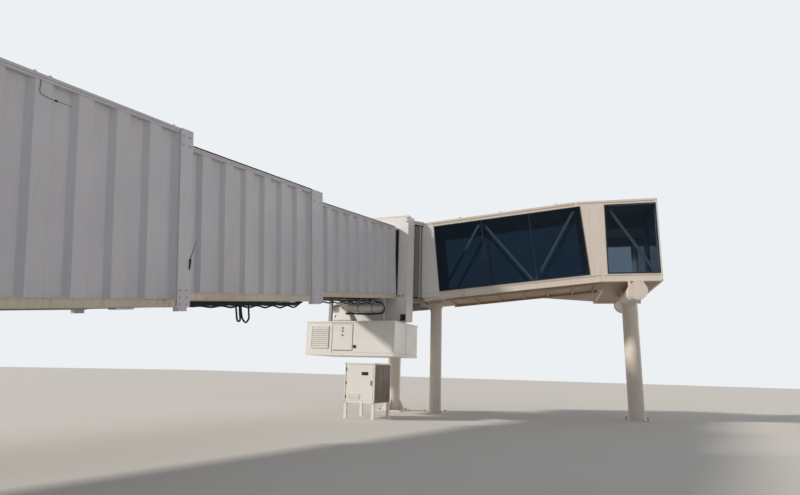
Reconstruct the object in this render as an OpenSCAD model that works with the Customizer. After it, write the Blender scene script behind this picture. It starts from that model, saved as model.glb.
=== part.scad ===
// Jet bridge: a fixed glazed walkway, a rotunda and three telescoping tunnels
// that end in a cab on a wheeled drive column.
// Origin on the rotunda's axis at the level of its foot, +Z up. At rest the tunnels run
// along -Y, downhill to the cab, and the walkway runs to +X, uphill to its far end.

/* [Levels] */
// Height of the rotunda floor above its column's foot
floor_z = 4140; // [3950:10:4300]
// Height of the rotunda roof above its floor
room_h = 2970; // [2900:10:3050]
// Thickness of the rotunda floor and roof
deck_t = 120; // [90:5:130]

/* [Rotunda] */
// Radius of the rotunda floor and roof
rotunda_r = 1765; // [1750:1:1790]
// Radius of the slat curtain
curtain_r = 1735; // [1715:1:1740]
// Width of one curtain slat, as an angle
slat_angle = 5; // [4:1:8]
// Radius of the drum under the floor
drum_r = 350; // [330:5:380]
// Height of the drum's lower flange
drum_flange_h = 90; // [60:5:110]
// Height from the underside of the drum to the underside of the floor
drum_h = 700; // [650:10:750]
// Width of the turning ring round the drum
ring_w = 100; // [90:5:110]
// Depth of the arms under the rotunda floor
arm_deep = 240; // [220:5:250]
// Width of an arm between the ring and the portal
arm_w = 200; // [160:10:220]
// Diameter of the rotunda's column
column_d = 500; // [450:5:540]
// Side of the column's base plate
base_plate = 1000; // [960:10:1060]
// Spacing of its anchor bolts
anchor_pitch = 760; // [720:10:800]
// Diameter of an anchor hole
anchor_d = 42; // [30:1:48]

/* [Portal] */
// Distance from the rotunda's axis to the portal's face
portal_y = 2420; // [2350:10:2500]
// Half width of the portal
portal_half_w = 1420; // [1400:5:1470]
// Depth of its corner posts
post_depth = 600; // [550:5:640]
// Width of its corner posts
post_w = 420; // [410:5:440]
// Height of the bottom of its drop legs
leg_low_z = 3160; // [3140:5:3250]
// Width of a drop leg
leg_w = 235; // [220:5:250]
// How far the portal's top lies below the rotunda's roof
portal_drop = 80; // [60:5:90]
// Plate thickness
plate_t = 40; // [25:5:50]
// Half width of the doorway into the tunnel
door_half_w = 920; // [850:5:930]
// Height of that doorway
door_h = 2230; // [2100:10:2260]

/* [Tunnels] */
// Downhill slope of the tunnels
tunnel_slope = 6.88; // [6:0.02:7.5]
// Length of each tunnel
tunnel_len = 8400; // [8200:50:8800]
// Half width of the inner tunnel
a_half_w = 1040; // [1020:5:1060]
// Height of the inner tunnel
a_h = 2550; // [2500:10:2600]
// Thickness of a ribbed wall
wall_t = 95; // [90:1:98]
// Spacing of the wall ribs
rib_pitch = 655; // [600:5:700]
// Depth of the wall ribs
rib_depth = 75; // [60:1:78]
// Length of a rib's slanted face
rib_run = 85; // [70:1:95]
// How far each tunnel's wall stands outside the one before
side_step = 140; // [135:1:150]
// How far each tunnel's bottom lies below the one before
bottom_step = 125; // [120:1:130]
// How far each tunnel's roof lies above the one before
top_step = 200; // [190:1:210]
// Height of the side beams
beam_h = 150; // [140:5:180]
// How far the side beams stand proud
beam_proud = 12; // [8:1:15]
// Thickness of the roof slabs
tunnel_roof_t = 70; // [60:1:90]
// Thickness of the tunnel floors
tunnel_floor_t = 90; // [70:1:92]
// Distance from the portal to the end frame of tunnel B
b_start = 5400; // [5300:10:5500]
// Distance from the end frame of tunnel B to that of tunnel C
c_offset = 4910; // [4850:10:5000]
// Length of the end frame of tunnel B
b_frame_len = 530; // [500:5:560]
// Length of the end frame of tunnel C
c_frame_len = 300; // [280:5:340]
// Depth of the roller brackets under the end frames
bracket_h = 70; // [60:5:90]
// How far the end frames stand proud
frame_proud = 40; // [30:1:50]

/* [Cab] */
// Half width of the cab
cab_half_w = 1600; // [1560:5:1700]
// Length of the cab
cab_len = 2900; // [2800:10:3100]
// Height of the cab
cab_h = 3000; // [2950:10:3100]
// Thickness of its walls
cab_wall = 80; // [70:1:90]
// Width of its cut front corners
cab_corner = 520; // [480:10:560]
// Height of its window sills
cab_sill = 900; // [850:10:950]
// Height of its doorways and windows
cab_head = 2150; // [2100:10:2200]
// Width of a wall between its windows and corners
cab_pier = 300; // [260:10:340]
// Half width of the doorway to the aircraft
cab_door_half_w = 800; // [760:10:840]
// Level gap between the tunnel and the cab
cab_gap = 360; // [340:5:400]
// Length of the bellows canopy
canopy_len = 800; // [700:10:900]
// Number of bellows folds
canopy_folds = 5; // [4:1:6]

/* [Drive column] */
// Distance along the tunnels from the portal to the drive column
drive_at = 16200; // [16000:50:16500]
// Side of a lift sleeve
sleeve_w = 340; // [320:5:360]
// Wall of a lift sleeve
sleeve_wall = 20; // [15:1:25]
// Side of the leg inside it
leg_tube_w = 280; // [260:5:290]
// How far the leg reaches up into it
leg_reach = 1850; // [1800:10:1900]
// Height of a lift sleeve
sleeve_len = 3500; // [3400:10:3600]
// Tyre diameter
tyre_d = 960; // [900:10:980]
// Tyre width
tyre_w = 300; // [260:5:320]
// Distance between the inner faces of a wheel pair
wheel_gap = 60; // [50:5:80]
// Distance from the middle to a wheel pair
wheel_at = 1000; // [950:10:1050]

/* [Walkway] */
// Turn of the walkway from +X
walkway_yaw = 7.5; // [6:0.5:9]
// Rise of the walkway's sloped part
walkway_slope = 5.6; // [5:0.1:6]
// Where the walkway starts
walkway_start = 1370; // [1350:1:1380]
// Where its slope ends
break_at = 7800; // [7700:10:7850]
// Where its landing ends
walkway_end = 9700; // [9650:10:9800]
// Half width of the walkway
walk_half_w = 1120; // [1110:1:1130]
// Thickness of its side frames
frame_t = 80; // [70:1:90]
// Height of the sloped part, square to the slope
walk_h = 3000; // [2950:10:3050]
// Where the slope of its roof ends
roof_break_at = 6934; // [6900:2:6960]
// Height of the window sill above the lower edge
sill_h = 320; // [300:5:340]
// Height of the windows
window_h = 2480; // [2400:10:2500]
// Where the first window starts, along the slope
window_1_from = 675; // [640:5:700]
// Where the first window ends, along the slope
window_1_to = 6020; // [5980:10:6050]
// Where the second window starts
window_2_from = 7970; // [7950:5:8000]
// Where the second window ends
window_2_to = 9620; // [9580:5:9640]
// Floor thickness of the walkway
walk_floor_t = 60; // [50:1:80]
// Roof thickness of the walkway
walk_roof_t = 100; // [80:1:110]
// Glass thickness
glass_t = 20; // [16:1:24]
// Width of a truss brace
brace_w = 90; // [70:5:100]
// Where the gusset between the walkway and the link starts
gusset_from = 5350; // [5300:10:5400]
// Distance from the walkway's middle to the link's end flange
link_to = 4400; // [4300:10:4500]

/* [Walkway supports] */
// Where the capital column stands
capital_at = 1650; // [1620:5:1680]
// Diameter of the capital column
capital_column_d = 440; // [400:5:460]
// Diameter of its capital
capital_d = 500; // [480:5:520]
// Where the crossbeam lies
crossbeam_at = 8830; // [8800:5:8900]
// Diameter of the crossbeam
crossbeam_d = 600; // [560:5:620]
// Diameter of the column under it
crossbeam_column_d = 550; // [500:5:560]
// Where the crossbeam starts in front of the walkway's middle
crossbeam_front = 1420; // [1380:5:1450]
// Length of the crossbeam
crossbeam_len = 4300; // [4200:10:4400]

/* [Units under the rotunda] */
// Width of the air unit
air_w = 3320; // [3250:10:3350]
// Depth of the air unit
air_depth = 2150; // [2000:10:2160]
// Height of the air unit
air_h = 1150; // [1100:5:1180]
// Height of its top above the rotunda column's foot
air_top_z = 3100; // [3060:5:3120]
// Diameter of its cross duct
duct_d = 300; // [280:5:320]
// Length of its cross duct
duct_len = 1950; // [1900:10:2000]
// Width of the power cabinet
cabinet_w = 1050; // [1000:5:1100]
// Depth of the power cabinet
cabinet_depth = 1220; // [1150:10:1300]
// Height of the cabinet's legs
cabinet_leg_h = 480; // [450:5:500]
// Height of the cabinet's body
cabinet_h = 1220; // [1150:5:1250]

/* [Fits] */
// Gap between pieces that slide or turn on each other
run_gap = 0.3; // [0.2:0.05:0.5]
// Clear gap round the turning vestibule
turn_gap = 5; // [5:1:8]

/* [Hidden] */
$fn = 64;

// How far a cut runs past what it cuts.
past = 10;

roof_z = floor_z + room_h;
deck_low_z = floor_z - deck_t;
ceiling_z = roof_z - deck_t;
drum_low_z = deck_low_z - drum_h;
ring_low_z = drum_low_z + drum_flange_h + run_gap;
ring_h = 300;
slot_r = rotunda_r + turn_gap;
post_low_z = leg_low_z + 40;
portal_top_z = roof_z - portal_drop;

// Tunnel levels are measured square to the slope from the bottom of tunnel A.
a_floor_top = 150;
hinge_z = floor_z - a_floor_top;
seal_t = 25;
b_half_w = a_half_w + side_step;
c_half_w = b_half_w + side_step;
b_low = -bottom_step;
c_low = -2 * bottom_step;
b_top = a_h + top_step;
c_top = b_top + top_step;
b_floor_top = -seal_t;
c_floor_top = b_low - seal_t;
c_start = b_start + c_offset;
c_end = c_start + tunnel_len;

// Cab and drive column stand level.
cab_floor_z = hinge_z - c_end * sin(tunnel_slope) + c_floor_top * cos(tunnel_slope);
drive_y = -portal_y - drive_at * cos(tunnel_slope);
drive_floor_z = hinge_z - drive_at * sin(tunnel_slope) + c_low * cos(tunnel_slope);
sleeve_x = c_half_w + frame_proud + 10 + sleeve_w / 2;
sleeve_low_z = drive_floor_z - 150;
axle_z = tyre_d / 2;
bolster_low_z = tyre_d + 40;
bolster_top_z = bolster_low_z + 240;

walk_low_z = floor_z - walk_floor_t;
rise = tan(walkway_slope);
landing_low_z = walk_low_z + (break_at - walkway_start) * rise;
walk_rise_h = walk_h / cos(walkway_slope);
landing_top = walk_low_z + walk_rise_h + (roof_break_at - walkway_start) * rise;
landing_sill_z = landing_low_z + sill_h - 10;
landing_head_z = landing_top - 180;

function slope_low_z(s) = walk_low_z + (s - walkway_start) * rise;
function slope_top_z(s) = min(landing_top, slope_low_z(s) + walk_rise_h);
// A point u along and v square to the slope, as [distance, height].
function on_grade(u, v) = [
    walkway_start + u * cos(walkway_slope) - v * sin(walkway_slope),
    walk_low_z + u * sin(walkway_slope) + v * cos(walkway_slope)
];

// Shapes that several parts share

module along_walkway() {
    rotate([0, 0, walkway_yaw]) children();
}

module on_slope() {
    translate([0, -portal_y, hinge_z]) rotate([tunnel_slope, 0, 0]) children();
}

module both_sides() {
    children();
    mirror([1, 0, 0]) children();
}

// A box from one corner to the other.
module span(low, high) {
    translate(low) cube(high - low);
}

// Stands an outline of [distance, height] up across the walkway.
module across(from, to) {
    translate([0, to, 0]) rotate([90, 0, 0]) linear_extrude(to - from) children();
}

// The rotunda

module deck_plate(low_z) {
    along_walkway() difference() {
        translate([0, 0, low_z]) cylinder(h = deck_t, r = rotunda_r, $fn = 96);
        span([walkway_start, -rotunda_r, low_z - 10],
             [rotunda_r + 10, rotunda_r, low_z + deck_t + 10]);
    }
}

module rotunda_column() {
    color("antiquewhite") {
        difference() {
            translate([-base_plate / 2, -base_plate / 2, 0])
                cube([base_plate, base_plate, plate_t]);
            for (x = [-1, 1], y = [-1, 1])
                translate([x * anchor_pitch / 2, y * anchor_pitch / 2, -1])
                    cylinder(h = plate_t + 2, d = anchor_d);
        }
        difference() {
            translate([0, 0, plate_t])
                cylinder(h = drum_low_z - 2 * plate_t, d = column_d);
            translate([0, 0, plate_t])
                cylinder(h = drum_low_z - 3 * plate_t, d = column_d - 2 * 20);
        }
        translate([0, 0, drum_low_z - plate_t])
            cylinder(h = plate_t, d = column_d + 300);
        for (a = [0:90:270])
            rotate([0, 0, a]) translate([0, plate_t / 4, 0]) rotate([90, 0, 0])
                linear_extrude(plate_t / 2)
                    polygon([[column_d / 2 - 5, plate_t],
                             [base_plate / 2 - 40, plate_t],
                             [base_plate / 2 - 40, plate_t + 60],
                             [column_d / 2 - 5, plate_t + 420]]);
    }
}

module rotunda_drum() {
    color("silver") rotate_extrude($fn = 96)
        polygon([[0, drum_low_z],
                 [drum_r + 0.6 * ring_w, drum_low_z],
                 [drum_r + 0.6 * ring_w, drum_low_z + drum_flange_h],
                 [drum_r, drum_low_z + drum_flange_h],
                 [drum_r, deck_low_z],
                 [drum_r - 25, deck_low_z],
                 [drum_r - 25, drum_low_z + 30],
                 [0, drum_low_z + 30]]);
    color("silver") for (a = [30:60:330])
        rotate([0, 0, walkway_yaw + a]) across(-plate_t / 4, plate_t / 4)
            polygon([[drum_r - plate_t / 2, deck_low_z - run_gap],
                     [drum_r - plate_t / 2, deck_low_z - arm_deep],
                     [slot_r - 400, deck_low_z - arm_deep / 4],
                     [slot_r - 400, deck_low_z - run_gap]]);
}

module rotunda_floor() {
    color("dimgray") deck_plate(deck_low_z);
}

module rotunda_roof() {
    color("antiquewhite") deck_plate(ceiling_z);
}

// One flat slat of the curtain between two angles.
module curtain(from_angle, to_angle) {
    n = round((to_angle - from_angle) / slat_angle);
    step = (to_angle - from_angle) / n;
    groove = 8;
    outer = [for (i = [0:n - 1])
        for (k = [0.06, 0.94])
            let (a = from_angle + (i + k) * step)
                [curtain_r * cos(a), curtain_r * sin(a)]];
    valley = [for (i = [0:n])
        let (a = from_angle + i * step)
            [(curtain_r - groove) * cos(a), (curtain_r - groove) * sin(a)]];
    face = [for (i = [0:n - 1])
        for (p = [valley[i], outer[2 * i], outer[2 * i + 1]]) p];
    back = [for (i = [n:-1:0])
        let (a = from_angle + i * step)
            [(curtain_r - 40) * cos(a), (curtain_r - 40) * sin(a)]];
    translate([0, 0, floor_z + run_gap]) linear_extrude(ceiling_z - floor_z - 2 * run_gap)
        polygon(concat(face, [valley[n]], back));
}

jamb_angle = asin((walk_half_w + 22) / curtain_r);
door_angle = asin((door_half_w + 90) / curtain_r);

module slat_curtains() {
    color("rosybrown") {
        curtain(-90 + door_angle, walkway_yaw - jamb_angle);
        curtain(walkway_yaw + jamb_angle, 270 - door_angle);
    }
}

module jamb_posts() {
    color("antiquewhite") along_walkway()
        for (y = [-walk_half_w, walk_half_w - frame_t])
            span([walkway_start - 80, y, floor_z],
                 [walkway_start, y + frame_t, ceiling_z]);
}

// The walkway and the link

module walkway_outline() {
    polygon([[walkway_start, walk_low_z],
             [break_at, landing_low_z],
             [walkway_end, landing_low_z],
             [walkway_end, landing_top],
             [roof_break_at, landing_top],
             [walkway_start, walk_low_z + walk_rise_h]]);
}

module window_1() {
    polygon([on_grade(window_1_from, sill_h),
             on_grade(window_1_to, sill_h),
             on_grade(window_1_to, sill_h + window_h),
             on_grade(window_1_from, sill_h + window_h)]);
}

module window_2() {
    polygon([[window_2_from, landing_sill_z],
             [window_2_to, landing_sill_z],
             [window_2_to, landing_head_z],
             [window_2_from, landing_head_z]]);
}

link_door_head = landing_top - 500;

module walkway_frames() {
    color("linen") along_walkway() {
        across(-walk_half_w, -walk_half_w + frame_t) difference() {
            walkway_outline();
            window_1();
            window_2();
        }
        across(walk_half_w - frame_t, walk_half_w) difference() {
            walkway_outline();
            window_1();
            translate([window_2_from, landing_low_z - 10])
                square([window_2_to - window_2_from, link_door_head - landing_low_z + 10]);
        }
        difference() {
            span([walkway_end - frame_t, -walk_half_w + frame_t, landing_low_z],
                 [walkway_end, walk_half_w - frame_t, landing_top]);
            span([walkway_end - frame_t - 10, -walk_half_w + 260, landing_sill_z],
                 [walkway_end + 10, walk_half_w - 260, landing_head_z]);
        }
    }
}

// The deck that fills the corner between the walkway and the link.
module gusset() {
    corner = window_2_from - frame_t;
    intersection() {
        across(walk_half_w, link_to)
            polygon([[gusset_from, slope_low_z(gusset_from)],
                     [break_at, landing_low_z],
                     [corner, landing_low_z],
                     [corner, landing_low_z + walk_floor_t],
                     [break_at, landing_low_z + walk_floor_t],
                     [gusset_from, slope_low_z(gusset_from) + walk_floor_t]]);
        translate([0, 0, walk_low_z]) linear_extrude(room_h)
            polygon([[gusset_from, walk_half_w],
                     [corner, walk_half_w],
                     [corner, link_to - plate_t],
                     [corner - frame_t, link_to - plate_t]]);
    }
}

module walkway_floor() {
    color("wheat") along_walkway() {
        across(-walk_half_w + frame_t, walk_half_w - frame_t)
            polygon([[walkway_start, walk_low_z],
                     [break_at, landing_low_z],
                     [walkway_end - frame_t, landing_low_z],
                     [walkway_end - frame_t, landing_low_z + walk_floor_t],
                     [break_at, landing_low_z + walk_floor_t],
                     [walkway_start, walk_low_z + walk_floor_t]]);
        span([window_2_from, walk_half_w - frame_t, landing_low_z],
             [window_2_to, link_to - plate_t, landing_low_z + walk_floor_t]);
        gusset();
    }
}

module walkway_roof() {
    color("linen") along_walkway() {
        across(-walk_half_w + frame_t, walk_half_w - frame_t)
            polygon([[walkway_start, walk_low_z + walk_rise_h],
                     [roof_break_at, landing_top],
                     [walkway_end - frame_t, landing_top],
                     [walkway_end - frame_t, landing_top - walk_roof_t],
                     [roof_break_at, landing_top - walk_roof_t],
                     [walkway_start, walk_low_z + walk_rise_h - walk_roof_t]]);
        span([window_2_from, walk_half_w, landing_top - walk_roof_t],
             [window_2_to, link_to - plate_t, landing_top]);
    }
}

module walkway_glass() {
    mid = walk_half_w - frame_t / 2;
    color("steelblue", 0.5) along_walkway() {
        across(-mid - glass_t / 2, -mid + glass_t / 2) {
            window_1();
            window_2();
        }
        across(mid - glass_t / 2, mid + glass_t / 2) window_1();
        span([walkway_end - frame_t / 2 - glass_t / 2, -walk_half_w + 260, landing_sill_z],
             [walkway_end - frame_t / 2 + glass_t / 2, walk_half_w - 260, landing_head_z]);
        for (x = [window_2_from - frame_t / 2, window_2_to + frame_t / 2])
            span([x - glass_t / 2, walk_half_w + link_pier, landing_sill_z],
                 [x + glass_t / 2, link_to - link_pier, landing_head_z]);
    }
}

link_pier = 500;

module link_walls() {
    color("linen") along_walkway() {
        for (x = [window_2_from - frame_t, window_2_to])
            difference() {
                span([x, walk_half_w, landing_low_z],
                     [x + frame_t, link_to - plate_t, landing_top]);
                span([x - 10, walk_half_w + link_pier, landing_sill_z],
                     [x + frame_t + 10, link_to - link_pier, landing_head_z]);
            }
        difference() {
            span([window_2_from - 2 * frame_t, link_to - plate_t, landing_low_z - 100],
                 [window_2_to + 2 * frame_t, link_to, landing_top + 100]);
            span([window_2_from + 100, link_to - plate_t - 10, landing_low_z + walk_floor_t],
                 [window_2_to - 100, link_to + 10, link_door_head]);
        }
    }
}

brace_low = [2100, 5460];
brace_high = [3530, 6950];

// A straight brace between two [distance, height] points.
module brace(p, q) {
    d = q - p;
    len = norm(d);
    n = [-d[1], d[0]] / len * brace_w / 2;
    polygon([p + n, p - n, q - n, q + n]);
}

module truss_side() {
    low = [for (s = brace_low) [s, slope_low_z(s) + sill_h - 60]];
    high = [for (s = brace_high) [s, slope_low_z(s) + sill_h + window_h + 25]];
    union() {
        brace(low[0], high[0]);
        brace(high[0], low[1]);
        brace(low[1], high[1]);
    }
}

module truss_landing() {
    brace([window_2_from + 60, landing_head_z + 25],
          [window_2_to - 70, landing_sill_z - 60]);
}

module walkway_truss() {
    inner = walk_half_w - frame_t;
    color("lightsteelblue") along_walkway() {
        across(-inner, -inner + 60) {
            truss_side();
            truss_landing();
        }
        across(inner - 60, inner) truss_side();
    }
}

// The columns under the walkway and the power cabinet

module foot_plate(side, pitch) {
    difference() {
        translate([-side / 2, -side / 2, 0]) cube([side, side, plate_t]);
        for (x = [-1, 1], y = [-1, 1])
            translate([x * pitch / 2, y * pitch / 2, -1])
                cylinder(h = plate_t + 2, d = anchor_d);
    }
}

capital_h = 180;
cap_t = 80;
foot_side = 800;
foot_pitch = 620;

module capital_column() {
    top_z = deck_low_z;
    place = [capital_at * cos(walkway_yaw), capital_at * sin(walkway_yaw), 0];
    color("antiquewhite") {
        translate(place) {
            foot_plate(foot_side, foot_pitch);
            difference() {
                translate([0, 0, plate_t])
                    cylinder(h = top_z - cap_t - plate_t, d = capital_column_d);
                translate([0, 0, plate_t])
                    cylinder(h = top_z - cap_t - 2 * plate_t,
                             d = capital_column_d - 2 * 16);
            }
            translate([0, 0, top_z - cap_t]) cylinder(h = cap_t, d = capital_d);
        }
        along_walkway() across(-capital_column_d / 3, capital_column_d / 3)
            polygon([[walkway_start + 2, top_z],
                     [walkway_start + 2, top_z - cap_t],
                     [capital_at - capital_column_d / 2 + 40, top_z - cap_t - capital_h],
                     [capital_at - capital_column_d / 2 + 40, top_z]]);
        along_walkway() across(-capital_d / 2, capital_d / 2)
            polygon([[walkway_start + 2, top_z],
                     [capital_at + capital_d / 2, top_z],
                     [capital_at + capital_d / 2, slope_low_z(capital_at + capital_d / 2) - run_gap],
                     [walkway_start + 2, slope_low_z(walkway_start + 2) - run_gap]]);
    }
}

crossbeam_z = landing_low_z - 60 - crossbeam_d / 2;
crossbeam_mid = -crossbeam_front + crossbeam_len / 2;

module crossbeam_column() {
    place = [crossbeam_at, crossbeam_mid, 0];
    color("antiquewhite") along_walkway() translate(place)
        rotate([0, 0, -walkway_yaw]) {
            foot_plate(foot_side + 100, foot_pitch + 100);
            difference() {
                translate([0, 0, plate_t])
                    cylinder(h = crossbeam_z - plate_t, d = crossbeam_column_d);
                translate([0, 0, plate_t])
                    cylinder(h = crossbeam_z - crossbeam_d / 2 - 2 * plate_t,
                             d = crossbeam_column_d - 2 * 16);
                rotate([0, 0, walkway_yaw]) translate([0, 0, crossbeam_z])
                    rotate([90, 0, 0])
                        cylinder(h = crossbeam_len, d = crossbeam_d + 2 * run_gap, center = true);
            }
        }
}

module pipe_crossbeam() {
    saddle_x = [-0.36, 0.36] * crossbeam_d;
    color("ivory") along_walkway() translate([crossbeam_at, 0, 0]) {
        translate([0, crossbeam_mid, crossbeam_z]) rotate([90, 0, 0]) {
            difference() {
                cylinder(h = crossbeam_len, d = crossbeam_d, center = true);
                cylinder(h = crossbeam_len - 2 * 25, d = crossbeam_d - 2 * 20, center = true);
            }
            for (z = [0.5, -0.5])
                translate([0, 0, z * (crossbeam_len + 20)])
                    cylinder(h = 20, d = crossbeam_d + 30, center = true);
        }
        for (x = saddle_x, y = [-walk_half_w + frame_t / 2, walk_half_w - frame_t / 2])
            translate([x, y, 0]) difference() {
                span([-35, -40, crossbeam_z + 150], [35, 40, landing_low_z]);
                translate([-x, 0, crossbeam_z]) rotate([90, 0, 0])
                    cylinder(h = 200, d = crossbeam_d - 1, center = true);
            }
    }
}

module power_cabinet() {
    x0 = 110;
    y0 = -4250;
    leg = 90;
    color("whitesmoke") {
        difference() {
            span([x0, y0, cabinet_leg_h],
                 [x0 + cabinet_w, y0 + cabinet_depth, cabinet_leg_h + cabinet_h]);
            span([x0 + 40, y0 + 40, cabinet_leg_h + 40],
                 [x0 + cabinet_w - 40, y0 + cabinet_depth - 40,
                  cabinet_leg_h + cabinet_h - 40]);
        }
        for (x = [x0, x0 + cabinet_w - leg], y = [y0, y0 + cabinet_depth - leg])
            span([x, y, 0], [x + leg, y + leg, cabinet_leg_h]);
    }
}

// The portal that turns with the tunnels

module portal() {
    color("linen") {
        translate([0, -portal_y + plate_t, 0]) rotate([90, 0, 0])
            linear_extrude(plate_t) difference() {
                union() {
                    translate([-portal_half_w, post_low_z])
                        square([2 * portal_half_w, portal_top_z - post_low_z]);
                    for (s = [-1, 1])
                        translate([s * (portal_half_w - leg_w / 2) - leg_w / 2, leg_low_z])
                            square([leg_w, post_low_z - leg_low_z + 1]);
                }
                translate([-door_half_w, floor_z]) square([2 * door_half_w, door_h]);
            }
        both_sides() {
            span([portal_half_w - plate_t, -portal_y + plate_t, post_low_z],
                 [portal_half_w, -portal_y + post_depth, portal_top_z]);
            span([portal_half_w - post_w, -portal_y + plate_t, post_low_z],
                 [portal_half_w - plate_t, -portal_y + post_depth, post_low_z + plate_t]);
            span([portal_half_w - leg_w, -portal_y + plate_t, leg_low_z],
                 [portal_half_w, -portal_y + leg_w, post_low_z]);
        }
    }
}

vestibule_out = 80;

module vestibule() {
    y0 = -portal_y + plate_t;
    outer = door_half_w + vestibule_out;
    color("linen") difference() {
        union() {
            span([-outer, y0, deck_low_z], [outer, -900, floor_z]);
            span([-outer, y0, ceiling_z], [outer, -900, portal_top_z]);
            both_sides() {
                span([door_half_w, y0, floor_z], [outer, -900, ceiling_z]);
                span([outer, y0, ceiling_z],
                     [portal_half_w - plate_t, -portal_y + post_depth, portal_top_z]);
            }
        }
        translate([0, 0, deck_low_z - 10])
            cylinder(h = room_h + deck_t + 20, r = slot_r, $fn = 360);
    }
}

module turn_ring() {
    color("gray") {
        difference() {
            translate([0, 0, ring_low_z]) cylinder(h = ring_h, r = drum_r + ring_w, $fn = 96);
            translate([0, 0, ring_low_z - 1])
                cylinder(h = ring_h + 2, r = drum_r + run_gap, $fn = 96);
        }
        difference() {
            both_sides() span([drum_r - arm_w, -portal_y + plate_t, ring_low_z],
                              [drum_r, 0, ring_low_z + ring_h]);
            translate([0, 0, ring_low_z - 1])
                cylinder(h = ring_h + 2, r = drum_r + ring_w / 2, $fn = 96);
        }
    }
}

module portal_gasket() {
    color("black") translate([0, -portal_y, 0]) rotate([90, 0, 0])
        linear_extrude(seal_t) difference() {
            translate([-a_half_w, hinge_z])
                square([2 * a_half_w, a_h * cos(tunnel_slope) - 20]);
            translate([-door_half_w, floor_z]) square([2 * door_half_w, door_h]);
        }
}

// The air unit and its duct

air_x0 = -1860;
air_y0 = -3550;

module air_unit() {
    color("whitesmoke") difference() {
        span([air_x0, air_y0, air_top_z - air_h],
             [air_x0 + air_w, air_y0 + air_depth, air_top_z]);
        span([air_x0 + 50, air_y0 + 50, air_top_z - air_h + 50],
             [air_x0 + air_w - 50, air_y0 + air_depth - 50, air_top_z - 50]);
    }
}

module air_unit_hangers() {
    w = 120;
    y_front = air_y0 + 50;
    low_front = hinge_z + (y_front + portal_y) * tan(tunnel_slope);
    color("lightgray") both_sides() {
        difference() {
            span([a_half_w - wall_t, y_front, air_top_z],
                 [a_half_w - wall_t + w - 20, y_front + w, low_front + 60]);
            on_slope() span([0, y_front - w, 0], [2 * a_half_w, 0, 2 * beam_h]);
        }
        span([portal_half_w - post_w + 20, -portal_y + post_depth - w - 40, air_top_z],
             [portal_half_w - post_w + 20 + w, -portal_y + post_depth - 40, post_low_z]);
    }
}

module air_duct() {
    x = -530;
    y = -3200;
    top = hinge_z + (y + portal_y) * tan(tunnel_slope);
    color("wheat") {
        hull() {
            translate([x - 330, y - 250, air_top_z]) cube([660, 500, 60]);
            translate([x - 160, y - 160, air_top_z + 380]) cube([320, 320, 20]);
        }
        translate([x - 600, y, air_top_z + 480]) rotate([0, 90, 0]) {
            cylinder(h = duct_len - duct_d, d = duct_d);
            translate([0, 0, duct_len - duct_d])
                cylinder(h = duct_d, d1 = duct_d, d2 = duct_d * 0.6);
        }
        difference() {
            translate([x - 160, y - 160, air_top_z + 400])
                cube([320, 320, top - air_top_z - 200]);
            on_slope() span([-a_half_w, 2 * y, a_floor_top - tunnel_floor_t],
                            [a_half_w, 0, a_floor_top + 2 * beam_h]);
        }
    }
}

// The three tunnels

// Plan of a ribbed wall on the +X side, from y_from down to y_to.
// Each rib starts with the slant that faces down the tunnel.
function ribs(half_w, y_from, y_to) =
    let (flat = (rib_pitch - 2 * rib_run) / 2,
         n = floor((y_from - y_to) / rib_pitch))
    [for (i = [0:n - 1])
        let (y = y_from - i * rib_pitch)
            for (p = [[half_w, y],
                      [half_w - rib_depth, y - rib_run],
                      [half_w - rib_depth, y - rib_run - flat],
                      [half_w, y - 2 * rib_run - flat]]) p];

module ribbed_walls(half_w, low, high, y_from, y_to) {
    both_sides() translate([0, 0, low]) linear_extrude(high - low)
        polygon(concat(ribs(half_w, y_from, y_to),
                       [[half_w, y_to],
                        [half_w - wall_t, y_to],
                        [half_w - wall_t, y_from]]));
}

module side_beams(half_w, low, y_from, y_to) {
    both_sides() span([half_w - wall_t, y_to, low], [half_w + beam_proud, y_from, low + beam_h]);
}

// Trims the rotunda end of tunnel A plumb against the portal's seal.
module plumb_end() {
    difference() {
        on_slope() children();
        span([-2 * a_half_w, -portal_y - seal_t, hinge_z - a_h], [2 * a_half_w, 0, roof_z + a_h]);
    }
}

a_y_from = 400;
a_y_to = -tunnel_len;
b_y_from = -b_start;
b_y_to = -b_start - tunnel_len;
c_y_from = -c_start;
c_y_to = -c_start - tunnel_len;
pad_len = 300;

// Sliding pads between a tunnel and the one round it.
module floor_pads(half_w, low, y) {
    both_sides() span([half_w - wall_t, y, low + run_gap - seal_t],
                      [half_w, y + pad_len, low]);
}

module roof_pads(half_w, top, y) {
    both_sides() span([half_w - 2 * wall_t, y, top],
                      [half_w - wall_t, y + pad_len, top + top_step - tunnel_roof_t - run_gap]);
}

// A ramp from one tunnel's floor down to the next one's.
module ramp(half_w, top, y, drop) {
    len = 1000;
    translate([-half_w, 0, 0]) rotate([90, 0, 90]) linear_extrude(2 * half_w)
        polygon([[y, top], [y, top - tunnel_floor_t],
                 [y - 100, top - drop + run_gap],
                 [y - len, top - drop + run_gap],
                 [y - len, top - drop + 10]]);
}

module tunnel_a_walls() {
    color("lightgray") plumb_end()
        ribbed_walls(a_half_w, beam_h, a_h - tunnel_roof_t, a_y_from, a_y_to);
}

module tunnel_a_beams() {
    color("wheat") {
        plumb_end() side_beams(a_half_w, 0, a_y_from, a_y_to);
        on_slope() floor_pads(a_half_w, 0, a_y_to);
    }
}

module tunnel_a_floor() {
    w = a_half_w - wall_t;
    color("dimgray") {
        plumb_end() span([-w, a_y_to, a_floor_top - tunnel_floor_t], [w, a_y_from, a_floor_top]);
        on_slope() ramp(w, a_floor_top, a_y_to, a_floor_top - b_floor_top);
    }
}

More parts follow.
